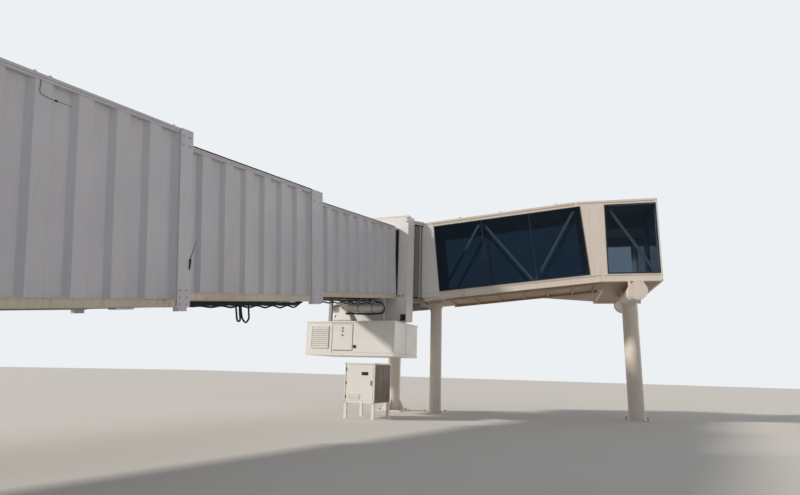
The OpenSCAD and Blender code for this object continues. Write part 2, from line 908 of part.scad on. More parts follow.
module tunnel_a_roof() {
    w = a_half_w + beam_proud;
    color("lightgray") {
        plumb_end() span([-w, a_y_to, a_h - tunnel_roof_t], [w, a_y_from, a_h]);
        on_slope() roof_pads(a_half_w, a_h, a_y_to);
    }
}

module tunnel_b_walls() {
    color("lightgray") on_slope()
        ribbed_walls(b_half_w, b_low + beam_h, b_top - tunnel_roof_t,
                     b_y_from - b_frame_len, b_y_to);
}

module tunnel_b_beams() {
    color("wheat") on_slope() {
        side_beams(b_half_w, b_low, b_y_from - b_frame_len, b_y_to);
        floor_pads(b_half_w, b_low, b_y_to);
    }
}

module tunnel_b_floor() {
    w = b_half_w - wall_t;
    color("dimgray") on_slope() {
        span([-w, b_y_to, b_floor_top - tunnel_floor_t], [w, b_y_from, b_floor_top]);
        ramp(w, b_floor_top, b_y_to, b_floor_top - c_floor_top);
        both_sides() span([a_half_w - wall_t, b_y_from - pad_len, b_floor_top],
                          [a_half_w, b_y_from, -run_gap]);
    }
}

module tunnel_b_roof() {
    w = b_half_w + beam_proud;
    color("lightgray") on_slope() {
        span([-w, b_y_to, b_top - tunnel_roof_t], [w, b_y_from - b_frame_len, b_top]);
        roof_pads(b_half_w, b_top, b_y_to);
    }
}

// Flat frame round the rotunda end of a tunnel.
module end_frame(half_w, low, top, y_from, len) {
    difference() {
        span([-half_w - frame_proud, y_from - len, low],
             [half_w + frame_proud, y_from, top + 20]);
        span([-half_w + wall_t, y_from - len - 10, low - 10],
             [half_w - wall_t, y_from + 10, top - tunnel_roof_t]);
    }
    both_sides() span([half_w - wall_t, y_from - len + 40, low - bracket_h],
                      [half_w + frame_proud - 10, y_from - 60, low]);
}

module tunnel_b_end_frame() {
    color("gainsboro") on_slope()
        end_frame(b_half_w, b_low, b_top, b_y_from, b_frame_len);
}

module tunnel_c_walls() {
    color("lightgray") on_slope()
        ribbed_walls(c_half_w, c_low + beam_h, c_top - tunnel_roof_t,
                     c_y_from - c_frame_len, c_y_to);
}

module tunnel_c_beams() {
    color("wheat") on_slope()
        side_beams(c_half_w, c_low, c_y_from - c_frame_len, c_y_to);
}

module tunnel_c_floor() {
    w = c_half_w - wall_t;
    color("dimgray") on_slope() {
        span([-w, c_y_to, c_floor_top - tunnel_floor_t], [w, c_y_from, c_floor_top]);
        both_sides() span([b_half_w - wall_t, c_y_from - pad_len, c_floor_top],
                          [b_half_w, c_y_from, b_low - run_gap]);
    }
}

module tunnel_c_roof() {
    w = c_half_w + beam_proud;
    color("lightgray") on_slope()
        span([-w, c_y_to, c_top - tunnel_roof_t], [w, c_y_from - c_frame_len, c_top]);
}

module tunnel_c_end_frame() {
    color("gainsboro") on_slope()
        end_frame(c_half_w, c_low, c_top, c_y_from, c_frame_len);
}

// The cab and its canopy

cab_low_z = cab_floor_z - tunnel_floor_t;
cab_top_z = cab_low_z + cab_h;
cab_eaves = cab_wall / 2;
cab_back = -portal_y - c_end * cos(tunnel_slope) - cab_gap;
cab_front = cab_back - cab_len;

module cab_plan(inset) {
    w = cab_half_w - inset;
    polygon([[-w, cab_back], [w, cab_back],
             [w, cab_front + cab_corner + inset / 2],
             [w - cab_corner + inset / 2, cab_front + inset],
             [-w + cab_corner - inset / 2, cab_front + inset],
             [-w, cab_front + cab_corner + inset / 2]]);
}

// Window openings of the cab, in plan, made through or filled.
module cab_openings(from, to) {
    both_sides() span([cab_half_w - to, cab_front + cab_corner + cab_pier, cab_floor_z + cab_sill],
                      [cab_half_w - from, cab_back - 2 * cab_pier, cab_floor_z + cab_head]);
}

module cab_floor() {
    color("dimgray") translate([0, 0, cab_low_z]) linear_extrude(tunnel_floor_t) cab_plan(0);
    color("dimgray") cab_collar(cab_low_z, cab_floor_z, c_half_w);
}

// Everything on the rotunda's side of tunnel C's lower end.
module beyond_tunnel_end() {
    on_slope() span([-2 * c_half_w, c_y_to, c_low - cab_h],
                    [2 * c_half_w, c_y_to + cab_len, c_top + cab_h]);
}

// Fills the wedge between the sloped tunnel and the level cab.
module cab_collar(low, high, w) {
    difference() {
        span([-w, cab_back - cab_wall, low], [w, cab_back + 2 * cab_gap + past, high]);
        beyond_tunnel_end();
    }
}

module cab_walls() {
    color("linen") {
        difference() {
            translate([0, 0, cab_floor_z]) linear_extrude(cab_top_z - cab_floor_z - cab_wall)
                difference() {
                    cab_plan(0);
                    cab_plan(cab_wall);
                }
            span([-c_half_w + wall_t, cab_back - 2 * cab_wall, cab_floor_z - past],
                 [c_half_w - wall_t, cab_back + past, cab_floor_z + cab_head]);
            span([-cab_door_half_w, cab_front - past, cab_floor_z - past],
                 [cab_door_half_w, cab_front + 2 * cab_wall, cab_floor_z + cab_head]);
            cab_openings(-past, cab_wall + past);
        }
        difference() {
            both_sides() span([c_half_w - wall_t, cab_back - cab_wall, cab_floor_z],
                              [c_half_w, cab_back + 2 * cab_gap + past, cab_top_z - cab_wall]);
            beyond_tunnel_end();
        }
    }
}

module cab_roof() {
    color("linen") {
        translate([0, 0, cab_top_z - cab_wall]) linear_extrude(cab_wall) cab_plan(-cab_eaves);
        cab_collar(cab_top_z - cab_wall, cab_top_z, c_half_w);
    }
}

module cab_glass() {
    color("steelblue", 0.5)
        cab_openings((cab_wall - glass_t) / 2, (cab_wall + glass_t) / 2);
}

module canopy() {
    fold = canopy_len / canopy_folds;
    in = cab_wall / 2;
    out = in + fold * 0.7;
    w = cab_door_half_w + 60;
    top = cab_floor_z + cab_head + 60;
    color("dimgray") difference() {
        translate([0, 0, cab_floor_z])
            linear_extrude(top + 130 - cab_floor_z)
                polygon([for (s = [1, -1], i = [0:2 * canopy_folds])
                    let (k = s > 0 ? i : 2 * canopy_folds - i)
                        [s * (w + (k % 2 == 0 ? in : out)), cab_front - k * fold / 2]]);
        span([-w + in, cab_front - canopy_len - past, cab_floor_z - past],
             [w - in, cab_front + past, top]);
    }
}

// The drive column and its wheels

module lift_sleeves() {
    inner = sleeve_w - 2 * sleeve_wall;
    color("silver") {
        both_sides() translate([sleeve_x, drive_y, sleeve_low_z]) difference() {
            translate([-sleeve_w / 2, -sleeve_w / 2, 0])
                cube([sleeve_w, sleeve_w, sleeve_len]);
            translate([-inner / 2, -inner / 2, -1])
                cube([inner, inner, sleeve_len - 40]);
        }
        difference() {
            span([-sleeve_x + sleeve_w / 2, drive_y - 140, sleeve_low_z],
                 [sleeve_x - sleeve_w / 2, drive_y + 140, drive_floor_z + 200]);
            on_slope() span([-2 * c_half_w, c_y_to, c_low], [2 * c_half_w, c_y_from, c_top]);
        }
    }
}

pair_half = tyre_w + wheel_gap / 2;

module drive_legs() {
    play = (sleeve_w - 2 * sleeve_wall - leg_tube_w) / 2 - run_gap;
    color("silver") {
        both_sides() translate([sleeve_x, drive_y, 0]) {
            span([-leg_tube_w / 2, -leg_tube_w / 2, bolster_top_z],
                 [leg_tube_w / 2, leg_tube_w / 2, sleeve_low_z + leg_reach]);
            span([-leg_tube_w / 2 - play, -leg_tube_w / 2 - play, sleeve_low_z + leg_reach - 200],
                 [leg_tube_w / 2 + play, leg_tube_w / 2 + play, sleeve_low_z + leg_reach]);
        }
        span([-sleeve_x - sleeve_w / 2, drive_y - 160, bolster_low_z],
             [sleeve_x + sleeve_w / 2, drive_y + 160, bolster_top_z]);
        both_sides() {
            translate([wheel_at, drive_y, axle_z]) rotate([0, 90, 0])
                cylinder(h = 2 * pair_half + 60, d = 110, center = true);
            span([wheel_at - wheel_gap / 2 + 5, drive_y - 120, axle_z - 40],
                 [wheel_at + wheel_gap / 2 - 5, drive_y + 120, bolster_low_z]);
        }
    }
}

module wheels() {
    color("darkslategray") both_sides()
        for (s = [-1, 1])
            translate([wheel_at + s * (wheel_gap / 2 + tyre_w / 2), drive_y, axle_z])
                rotate([0, 90, 0]) rotate_extrude()
                    polygon([[56, -tyre_w / 2 + 60], [250, -tyre_w / 2 + 60],
                             [260, -tyre_w / 2 + 10], [tyre_d / 2 - 60, -tyre_w / 2],
                             [tyre_d / 2, -tyre_w / 2 + 60], [tyre_d / 2, tyre_w / 2 - 60],
                             [tyre_d / 2 - 60, tyre_w / 2], [260, tyre_w / 2 - 10],
                             [250, tyre_w / 2 - 60], [56, tyre_w / 2 - 60]]);
}

rotunda_column();
rotunda_drum();
rotunda_floor();
rotunda_roof();
slat_curtains();
jamb_posts();
walkway_floor();
walkway_roof();
walkway_frames();
walkway_glass();
walkway_truss();
link_walls();
capital_column();
crossbeam_column();
pipe_crossbeam();
power_cabinet();
portal();
vestibule();
turn_ring();
portal_gasket();
air_unit();
air_unit_hangers();
air_duct();
tunnel_a_walls();
tunnel_a_beams();
tunnel_a_floor();
tunnel_a_roof();
tunnel_b_walls();
tunnel_b_beams();
tunnel_b_floor();
tunnel_b_roof();
tunnel_b_end_frame();
tunnel_c_walls();
tunnel_c_beams();
tunnel_c_floor();
tunnel_c_roof();
tunnel_c_end_frame();
cab_floor();
cab_walls();
cab_roof();
cab_glass();
canopy();
lift_sleeves();
drive_legs();
wheels();
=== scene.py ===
# %% [markdown]
# # A jet bridge
# This lesson dresses a jet bridge that was first built as plain solids. The
# solids are loaded as a fixed frame, and every finish and every small fitting
# is made here in Blender and set on that frame.

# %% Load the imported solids
import math
from collections import namedtuple
from functools import partial
import bpy
from mathutils import Matrix, Vector


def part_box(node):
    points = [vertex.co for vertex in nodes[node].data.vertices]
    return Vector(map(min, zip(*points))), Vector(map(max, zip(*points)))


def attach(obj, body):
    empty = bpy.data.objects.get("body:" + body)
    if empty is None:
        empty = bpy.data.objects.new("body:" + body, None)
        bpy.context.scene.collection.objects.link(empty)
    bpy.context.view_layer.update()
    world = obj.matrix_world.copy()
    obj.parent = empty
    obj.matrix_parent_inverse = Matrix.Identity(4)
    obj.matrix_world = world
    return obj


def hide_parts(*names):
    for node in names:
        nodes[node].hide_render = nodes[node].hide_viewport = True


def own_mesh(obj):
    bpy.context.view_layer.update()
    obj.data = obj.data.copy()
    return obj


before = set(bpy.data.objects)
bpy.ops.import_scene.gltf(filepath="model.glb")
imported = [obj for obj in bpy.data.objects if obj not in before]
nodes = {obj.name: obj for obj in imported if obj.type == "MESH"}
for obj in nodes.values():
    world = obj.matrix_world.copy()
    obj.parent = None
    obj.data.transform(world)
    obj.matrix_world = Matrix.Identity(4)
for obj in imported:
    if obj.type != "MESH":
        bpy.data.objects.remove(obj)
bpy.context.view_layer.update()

# %% [markdown]
# ## The camera
# The bridge is seen from low down and to one side of the cab, with the camera
# tipped up and very slightly turned. Its place was worked out from the
# vanishing points of the walkway and the tunnels. The three directions of the
# camera are written straight into its matrix.

# %% Place the camera
EYE = (8.5998, -20.2497, 1.5)
PITCH, ROLL = math.radians(12.64), math.radians(1.56)
SENSOR, PHOTO_WIDTH, FOCAL_PIXELS = 36, 800, 549
level_right = Vector((0.9222, 0.38671, 0))
level_ahead = Vector((-level_right.y, level_right.x, 0))
up = Vector((0, 0, 1))
ahead = math.cos(PITCH) * level_ahead + math.sin(PITCH) * up
over = -math.sin(PITCH) * level_ahead + math.cos(PITCH) * up
cam_right = math.cos(ROLL) * level_right + math.sin(ROLL) * over
cam_up = -math.sin(ROLL) * level_right + math.cos(ROLL) * over
bpy.ops.object.camera_add()
camera = bpy.context.object
turn = Matrix((cam_right, cam_up, -ahead)).transposed().to_4x4()
camera.matrix_world = Matrix.Translation(EYE) @ turn
camera.data.sensor_width = SENSOR
camera.data.lens = FOCAL_PIXELS / PHOTO_WIDTH * SENSOR
camera.data.clip_end = 300
bpy.context.scene.camera = camera
print("camera at", camera.matrix_world.translation)

# %% [markdown]
# ## The light
# The real bridge stands in soft morning sun from the left, so the walls of the
# tunnels that show are in the shade. One wide sun lamp gives the warm fronts,
# and an even pale world fills the shade. Together they come to about one, so a
# colour renders as it is written.

# %% Sun and sky
def linear(code):
    """Turns an sRGB hex colour into the linear colour that shaders use."""
    parts = [int(code[i:i + 2], 16) / 255 for i in (0, 2, 4)]
    return [c / 12.92 if c <= 0.04045 else ((c + 0.055) / 1.055) ** 2.4 for c in parts] + [1]


def add(tree, kind, inputs=None, **settings):
    """Adds one node. An input is a value, a colour code, a socket, or a node to take it from."""
    added = tree.nodes.new("ShaderNode" + kind)
    for key, value in settings.items():
        setattr(added, key, value)
    for key, value in (inputs or {}).items():
        if isinstance(value, bpy.types.Node):
            value = next(socket for socket in value.outputs if socket.enabled)
        elif isinstance(value, str):
            value = linear(value)
        if isinstance(value, bpy.types.NodeSocket):
            tree.links.new(value, added.inputs[key])
        else:
            added.inputs[key].default_value = value
    return added


def sun_lamp(name, energy, spread, colour, heading):
    """A sun that shines along a heading, with its spread in degrees."""
    data = bpy.data.lights.new(name, "SUN")
    data.energy = energy
    data.angle = math.radians(spread)
    data.color = linear(colour)[:3]
    lamp = bpy.data.objects.new(name, data)
    bpy.context.scene.collection.objects.link(lamp)
    lamp.rotation_euler = Vector(heading).to_track_quat("-Z", "Y").to_euler()


sun_lamp("sun", 3.05, 5, "FFF6EA", (0.72, 0.50, -0.43))
# Sunlit surfaces all round throw soft light back at the shaded side.
sun_lamp("bounce", 0.95, 50, "FFF3E4", (-0.62, -0.78, 0.10))

world = bpy.data.worlds.new("pale_sky")
bpy.context.scene.world = world
world.use_nodes = True
world.node_tree.nodes.clear()
node = partial(add, world.node_tree)
fill = node("Background", {"Color": "EEF2F8", "Strength": 0.36})
seen = node("Background", {"Color": "EDF0F3", "Strength": 1.0})
# Metal and glass show the same pale sky as the camera sees.
path = node("LightPath")
shown = path.outputs["Is Camera Ray"]
for ray in ("Is Glossy Ray", "Is Transmission Ray"):
    shown = node("Math", {0: shown, 1: path.outputs[ray]}, operation="MAXIMUM")
sky = node("MixShader", {0: shown, 1: fill, 2: seen})
node("OutputWorld", {"Surface": sky})
bpy.context.scene.view_settings.view_transform = "Standard"
print("a sun, its bounce and a world")

# %% [markdown]
# ## Painted steel
# Nearly all of the bridge is sheet steel with a factory coat of paint that has
# stood outside for years. Paint like this has a fine orange peel, broad faint
# clouds where dust has settled, and thin darker streaks where rain has run
# down. One function makes every such paint, with its own colours and with
# more or less dirt and rust. The real peel is about 2 mm across and would be
# lost, so it is drawn 25 mm across.

# %% A function for weathered paint
def new_material(name):
    """An empty material, the function that adds its nodes, and its object coordinates."""
    mat = bpy.data.materials.new(name)
    mat.use_nodes = True
    mat.node_tree.nodes.clear()
    node = partial(add, mat.node_tree)
    return mat, node, node("TexCoord").outputs["Object"]


def weathered_paint(name, colour, shade, streak, dirt, rough=(0.38, 0.6), rust=0.0, lean=0.0):
    """Paint of one colour, with clouds, rain streaks and, if asked, rust spots."""
    mat, node, where = new_material(name)
    plumb = node("Mapping", {"Vector": where, "Rotation": (lean, 0, 0)})
    # Clouds of dust are about 1.2 m across.
    cloud = node("TexNoise", {"Vector": plumb, "Scale": 0.85, "Detail": 5.0, "Roughness": 0.6})
    # Rain streaks are about 60 mm wide and a metre long.
    narrow = node("Mapping", {"Vector": where, "Scale": (16, 16, 0.9)})
    runs = node("TexNoise", {"Vector": narrow, "Scale": 1.0, "Detail": 3.0, "Roughness": 0.55})
    clouded = node("MapRange", {"Value": cloud, "From Min": 0.35, "From Max": 0.72, "To Max": dirt})
    streaked = node("MapRange", {"Value": runs, "From Min": 0.52, "From Max": 0.74, "To Max": dirt})
    dusty = node("Mix", {0: clouded, "A": colour, "B": shade}, data_type="RGBA")
    last = node("Mix", {0: streaked, "A": dusty, "B": streak}, data_type="RGBA")
    if rust:
        # Rust starts in spots of 30 to 60 mm, and only in some clouds.
        spots = node("TexNoise", {"Vector": plumb, "Scale": 19.0, "Detail": 6.0, "Roughness": 0.7})
        spread = node("TexNoise", {"Vector": plumb, "Scale": 1.7, "Detail": 2.0})
        both = node("Math", {0: spots, 1: spread}, operation="MULTIPLY")
        start, full = 0.40 - 0.05 * rust, 0.47 - 0.05 * rust
        bitten = node("MapRange", {"Value": both, "From Min": start, "From Max": full, "To Max": 0.75})
        last = node("Mix", {0: bitten, "A": last, "B": "7A4B2E"}, data_type="RGBA")
    peel = node("TexNoise", {"Vector": where, "Scale": 40.0, "Detail": 2.0})
    dents = node("TexNoise", {"Vector": where, "Scale": 2.2, "Detail": 1.0})
    waves = node("Bump", {"Height": dents, "Strength": 0.35, "Distance": 0.02})
    skin = node("Bump", {"Height": peel, "Strength": 0.12, "Distance": 0.004, "Normal": waves})
    sheen = node("MapRange", {"Value": cloud, "From Min": 0.3, "From Max": 0.7,
                              "To Min": rough[0], "To Max": rough[1]})
    coat = node("BsdfPrincipled", {"Base Color": last, "Roughness": sheen, "Normal": skin, "IOR": 1.5})
    node("OutputMaterial", {"Surface": coat})
    return mat


SLOPE = math.radians(6.88)
cream_enamel = weathered_paint("cream_enamelled_steel", "E4DACF", "CFC4B8", "B7A997", 0.3, rust=0.1)
grey_enamel = weathered_paint("grey_machinery_enamel", "A9ACB0", "90939A", "75777C", 0.4, rust=0.4)
white_enamel = weathered_paint("white_appliance_enamel", "ECEBE8", "D6D3CC", "BDB6AA", 0.2, (0.28, 0.45))
tunnel_enamel = weathered_paint("ribbed_tunnel_enamel", "D1D0D6", "C1BEC2", "A9A4A3", 0.16, lean=-SLOPE)
beam_enamel = weathered_paint("cream_beam_enamel", "DDD2C3", "C6B79F", "9F8F78", 0.4, rust=0.5, lean=-SLOPE)
cladding_enamel = weathered_paint("pale_cladding_enamel", "EDEAE7", "DAD6D2", "BDB7B0", 0.2)
brace_enamel = weathered_paint("blue_grey_truss_enamel", "E3E8EC", "CBD2D9", "A3ABB5", 0.2)
# The cabinet's sides and back get a dark brown-grey: painted shade, not a paint of their own.
cabinet_side_shade = weathered_paint("painted_shade_cabinet_sides", "5C4C3E", "4B3E33", "3A3029", 0.3)
# The soffit is the cream paint made darker and browner: painted shade under the walkway, with some dust.
soffit_dust_and_shade = weathered_paint("soffit_dust_and_painted_shade", "AA8F70", "967C5F", "735C45", 0.45, rust=0.3)
# The rotunda floor's brown-grey is the cream paint darkened: painted shade under the rotunda, with dirt and
# rust spots.
deck_edge_rust_and_shade = weathered_paint("deck_edge_rust_and_painted_shade", "8B8480", "76695F", "5E4A3C", 0.6, rust=1.0)
print("paints:", [mat.name for mat in bpy.data.materials])

# %% [markdown]
# ## Slats, rubber, fabric and glass
# The rotunda is closed by a roller curtain of narrow aluminium slats with a
# dull pinkish lacquer. Floors have a ribbed rubber cover. The canopy is coated
# polyester cloth with a woven back, and the tyres and seals are black rubber.
# The windows are tinted float glass, dark blue from outside. Each finish gets
# its own short graph, because none of them ages as the paint does.

# %% Slats
def two_tone(node, share, first, second, surface):
    """The last nodes of a material that varies between two colours."""
    tint = node("Mix", {0: share, "A": first, "B": second}, data_type="RGBA")
    node("OutputMaterial", {"Surface": node("BsdfPrincipled", {"Base Color": tint, **surface})})


slat_lacquer, node, where = new_material("lacquered_aluminium_slats")
tall = node("Mapping", {"Vector": where, "Scale": (7, 7, 0.35)})
fade = node("TexNoise", {"Vector": tall, "Scale": 1.0, "Detail": 4.0})
grain = node("TexNoise", {"Vector": tall, "Scale": 22.0, "Detail": 2.0})
press = node("Bump", {"Height": grain, "Strength": 0.2, "Distance": 0.002})
two_tone(node, fade, "84756D", "63574F", {"Metallic": 0.25, "Roughness": 0.42, "Normal": press})

# %% Rubber, in three kinds
def black_rubber_finish(name, colour, dust, scale, depth):
    """Rubber whose moulded skin is full of dust: scale is grains per metre."""
    mat, node, where = new_material(name)
    patches = node("TexNoise", {"Vector": where, "Scale": 3.0, "Detail": 6.0, "Roughness": 0.65})
    greyed = node("MapRange", {"Value": patches, "From Min": 0.4, "From Max": 0.75, "To Max": 0.6})
    pores = node("TexNoise", {"Vector": where, "Scale": scale, "Detail": 3.0})
    rise = node("Bump", {"Height": pores, "Strength": 0.4, "Distance": depth})
    two_tone(node, greyed, colour, dust, {"Roughness": 0.82, "Normal": rise, "IOR": 1.5})
    return mat


deck_rubber = black_rubber_finish("ribbed_floor_rubber", "4A4A4C", "76726C", 45.0, 0.004)
seal_rubber = black_rubber_finish("black_neoprene_seal", "18181A", "3A3836", 60.0, 0.002)
tyre_rubber = black_rubber_finish("solid_tyre_rubber", "1D1D1F", "55504A", 35.0, 0.005)

# %% Coated canopy cloth
# Coated polyester gives a dull, dark, slightly uneven grey. Its weave of 1 mm
# threads would be lost, so the threads are drawn 14 mm apart.
THREADS = {"Scale": 22.0, "Distortion": 0.4}
canopy_cloth, node, where = new_material("coated_polyester_bellows")
warp = node("TexWave", {"Vector": where, **THREADS}, bands_direction="Z").outputs["Fac"]
weft = node("TexWave", {"Vector": where, **THREADS}, bands_direction="DIAGONAL").outputs["Fac"]
weave = node("Math", {0: warp, 1: weft}, operation="MULTIPLY")
worn = node("TexNoise", {"Vector": where, "Scale": 2.4, "Detail": 5.0})
thread = node("Bump", {"Height": weave, "Strength": 0.3, "Distance": 0.002})
two_tone(node, worn, "3B3D42", "5A5B5E", {"Roughness": 0.75, "Normal": thread})

# %% Tinted glass
# Float glass with a body tint lets a little light through, and its coated
# face reflects the sky faintly and in blue. Shadow rays pass it freely:
# otherwise the room behind would be black, and the sunlit truss in it couldn't
# be seen.
tinted_glass, node, where = new_material("navy_tinted_float_glass")
film = node("TexNoise", {"Vector": where, "Scale": 1.3, "Detail": 4.0})
tint = node("Mix", {0: film, "A": "4E5E6B", "B": "5A6976"}, data_type="RGBA")
haze = node("MapRange", {"Value": film, "To Min": 0.02, "To Max": 0.08})
pane = node("BsdfPrincipled", {"Base Color": tint, "Roughness": haze, "Transmission Weight": 1.0,
                               "IOR": 1.45, "Specular Tint": "5F7896"})
clear = node("BsdfTransparent", {"Color": "F4F7F8"})
shadow = node("LightPath").outputs["Is Shadow Ray"]
lit = node("MixShader", {0: shadow, 1: pane, 2: clear})
node("OutputMaterial", {"Surface": lit})

# %% Galvanised steel for bolts, bands and guides
# Hot-dip zinc has a dull spangle of flat grey crystals about 15 mm across.
galvanised, node, where = new_material("hot_dip_galvanised_steel")
crystal = node("TexVoronoi", {"Vector": where, "Scale": 65.0}).outputs["Color"]
spangle = node("MapRange", {"Value": crystal, "To Max": 1.0})
two_tone(node, spangle, "8D9194", "A9ADAF", {"Metallic": 0.7, "Roughness": 0.5})
print("materials:", len(bpy.data.materials))

# %% [markdown]
# ## Dressing the solids
# Each solid keeps its shape and only gets its finish. The table below names
# the finish of every node once, so a missing one is noticed at once.

# %% Give every node its finish
finishes = {
    cream_enamel: ["rotunda_column", "rotunda_roof", "jamb_posts", "walkway_roof",
                   "walkway_frames", "link_walls", "capital_column", "crossbeam_column",
                   "pipe_crossbeam", "cab_walls", "cab_roof"],
    cladding_enamel: ["portal", "vestibule"],
    soffit_dust_and_shade: ["walkway_floor"],
    deck_edge_rust_and_shade: ["rotunda_floor"],
    grey_enamel: ["rotunda_drum", "turn_ring", "lift_sleeves", "drive_legs", "air_unit_hangers"],
    white_enamel: ["power_cabinet", "air_unit", "air_duct"],
    tunnel_enamel: ["tunnel_a_walls", "tunnel_a_roof", "tunnel_b_walls", "tunnel_b_roof",
                    "tunnel_b_end_frame", "tunnel_c_walls", "tunnel_c_roof", "tunnel_c_end_frame"],
    beam_enamel: ["tunnel_a_beams", "tunnel_b_beams", "tunnel_c_beams"],
    brace_enamel: ["walkway_truss"],
    slat_lacquer: ["slat_curtains"],
    deck_rubber: ["tunnel_a_floor", "tunnel_b_floor", "tunnel_c_floor", "cab_floor"],
    tinted_glass: ["walkway_glass", "cab_glass"],
    seal_rubber: ["portal_gasket"],
    canopy_cloth: ["canopy"],
    tyre_rubber: ["wheels"],
}
dressed = []
for finish, names in finishes.items():
    for name in names:
        slots = nodes[name].data.materials
        if len(slots):
            for i in range(len(slots)):
                slots[i] = finish
        else:
            slots.append(finish)
        dressed.append(name)
print("undressed:", sorted(set(nodes) - set(dressed)))

# %% [markdown]
# ## The floor
# A plain pale floor carries the bridge and takes its shadow. It is broad
# enough to run out of sight at the level of the camera.

# %% Lay the floor
bpy.ops.object.select_all(action="DESELECT")
bpy.ops.mesh.primitive_plane_add(size=240, location=(0, 0, 0))
floor = bpy.context.object
floor.name = "pale_floor"
floor_paint, node, where = new_material("pale_plain_floor")
patch = node("TexNoise", {"Vector": where, "Scale": 0.3, "Detail": 3.0})
two_tone(node, patch, "DAD7D2", "D2CFCA", {"Roughness": 0.9})
floor.data.materials.append(floor_paint)
print("floor laid")

# %% [markdown]
# ## Hands for modelling
# Everything below is modelled by hand: a primitive is added at its size and
# place, some faces are picked by where they lie, and an edit operator or a
# modifier shapes them. These few helpers keep the selection clean, because an
# operator acts on all that is selected.

# %% Picking, adding, settling
def only(*pieces):
    """Selects these pieces and nothing else. The last one is active."""
    if bpy.context.object and bpy.context.object.mode != "OBJECT":
        bpy.ops.object.mode_set(mode="OBJECT")
    bpy.ops.object.select_all(action="DESELECT")
    for piece in pieces:
        piece.select_set(True)
    bpy.context.view_layer.objects.active = pieces[-1]


def settle(piece, place=None):
    """Moves a piece by a matrix and writes its place into its mesh."""
    if place is not None:
        piece.matrix_world = place @ piece.matrix_world
    only(piece)
    bpy.ops.object.transform_apply(location=True, rotation=True, scale=True)
    return piece


def fresh(name, primitive, **settings):
    """Adds one primitive with nothing else selected, and names it."""
    bpy.ops.object.select_all(action="DESELECT")
    primitive(**settings)
    bpy.context.object.name = name
    return bpy.context.object


def block(name, corner, opposite):
    """A cube primitive that fills the space between two opposite corners."""
    corner, opposite = Vector(corner), Vector(opposite)
    piece = fresh(name, bpy.ops.mesh.primitive_cube_add, size=1, location=(corner + opposite) / 2)
    piece.scale = [abs(length) for length in opposite - corner]
    return settle(piece)


def drum(name, start, end, radius, sides, end_radius=None):
    """A cylinder or cone primitive between two points."""
    start, end = Vector(start), Vector(end)
    if end_radius is None:
        end_radius = radius
    piece = fresh(name, bpy.ops.mesh.primitive_cone_add, vertices=sides, radius1=radius,
                  radius2=end_radius, depth=(end - start).length)
    turn = (end - start).to_track_quat("Z", "Y").to_matrix().to_4x4()
    return settle(piece, Matrix.Translation((start + end) / 2) @ turn)


# %% Shaping
def modify(piece, kind, **settings):
    """Adds one modifier with its settings and applies it."""
    only(piece)
    bpy.ops.object.modifier_add(type=kind)
    added = piece.modifiers[-1]
    for key, value in settings.items():
        setattr(added, key, value)
    bpy.ops.object.modifier_apply(modifier=added.name)
    return piece


def soften(piece, width, segments=2):
    """Rounds every sharp edge, as bent and painted sheet is."""
    return modify(piece, "BEVEL", width=width, segments=segments,
                  limit_method="ANGLE", angle_limit=math.radians(40))


def panel(name, corner, opposite, edge=0.005, segments=2):
    """A flat sheet-metal panel with rounded edges."""
    return soften(block(name, corner, opposite), edge, segments)


def rod(name, start, end, radius, sides, edge):
    """A round bar or disc with rounded edges."""
    return soften(drum(name, start, end, radius, sides), edge)


def edit_faces(piece, test, operator, **settings):
    """Runs one edit operator on the faces whose centre and normal pass a test."""
    only(piece)
    bpy.ops.object.mode_set(mode="EDIT")
    bpy.ops.mesh.select_mode(type="FACE")
    bpy.ops.mesh.select_all(action="DESELECT")
    bpy.ops.object.mode_set(mode="OBJECT")
    for face in piece.data.polygons:
        face.select = bool(test(face.center, face.normal))
    bpy.ops.object.mode_set(mode="EDIT")
    operator(**settings)
    bpy.ops.object.mode_set(mode="OBJECT")
    return piece


def draw_out(piece, test, step):
    """Extrudes the faces that pass a test by one step."""
    edit_faces(piece, test, bpy.ops.mesh.extrude_region_move, TRANSFORM_OT_translate={"value": step})


def looks_up(centre, normal):
    """Passes the faces that look straight up."""
    return normal.z > 0.9


# %% Joining, repeating, fitting
def join(name, pieces):
    """Makes one piece of several."""
    only(*pieces)
    if len(pieces) > 1:
        bpy.ops.object.join()
    piece = bpy.context.object
    piece.name = name
    piece.data.name = name
    return piece


def repeat(piece, places):
    """Copies a piece to every place, each copy with its own mesh, and joins them."""
    copies = []
    for place in places:
        copy = piece.copy()
        copy.data = piece.data.copy()
        copy.data.transform(place)
        bpy.context.scene.collection.objects.link(copy)
        copies.append(copy)
    name = piece.name
    bpy.data.objects.remove(piece)
    return join(name, copies)


def fit(name, pieces, body, finish, place=None, slot=None):
    """Joins pieces into one and gives it its place, finish and the body it rides on. The slot is not used.
    """
    piece = settle(join(name, pieces), place)
    piece.data.materials.clear()
    piece.data.materials.append(finish)
    for face in piece.data.polygons:
        face.material_index = 0
    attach(piece, body)
    print(piece.name, len(piece.data.polygons), "faces on", body)
    return piece


# %% [markdown]
# ## Places on the frame
# The tunnels slope down from the portal, so their fittings are drawn level,
# with the portal's front as the start and the tunnels' floor as zero, and one
# matrix lays them on the slope. Another turns the walkway's fittings with it.

# %% Matrices and the tunnels' sizes
def turned(degrees, axis):
    """A turn about one axis."""
    return Matrix.Rotation(math.radians(degrees), 4, axis)


def face_out(side):
    """Turns what points up so that it points out to one side."""
    return turned(90 * side, "Y")


SIDES = (-1, 1)
PORTAL_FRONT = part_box("portal")[0].y
at = Matrix.Translation
on_slope = at((0, PORTAL_FRONT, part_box("portal_gasket")[0].z)) @ Matrix.Rotation(SLOPE, 4, "X")
along = turned(7.5, "Z")
face_front = turned(90, "X")
quarter_turn = turned(90, "Z")

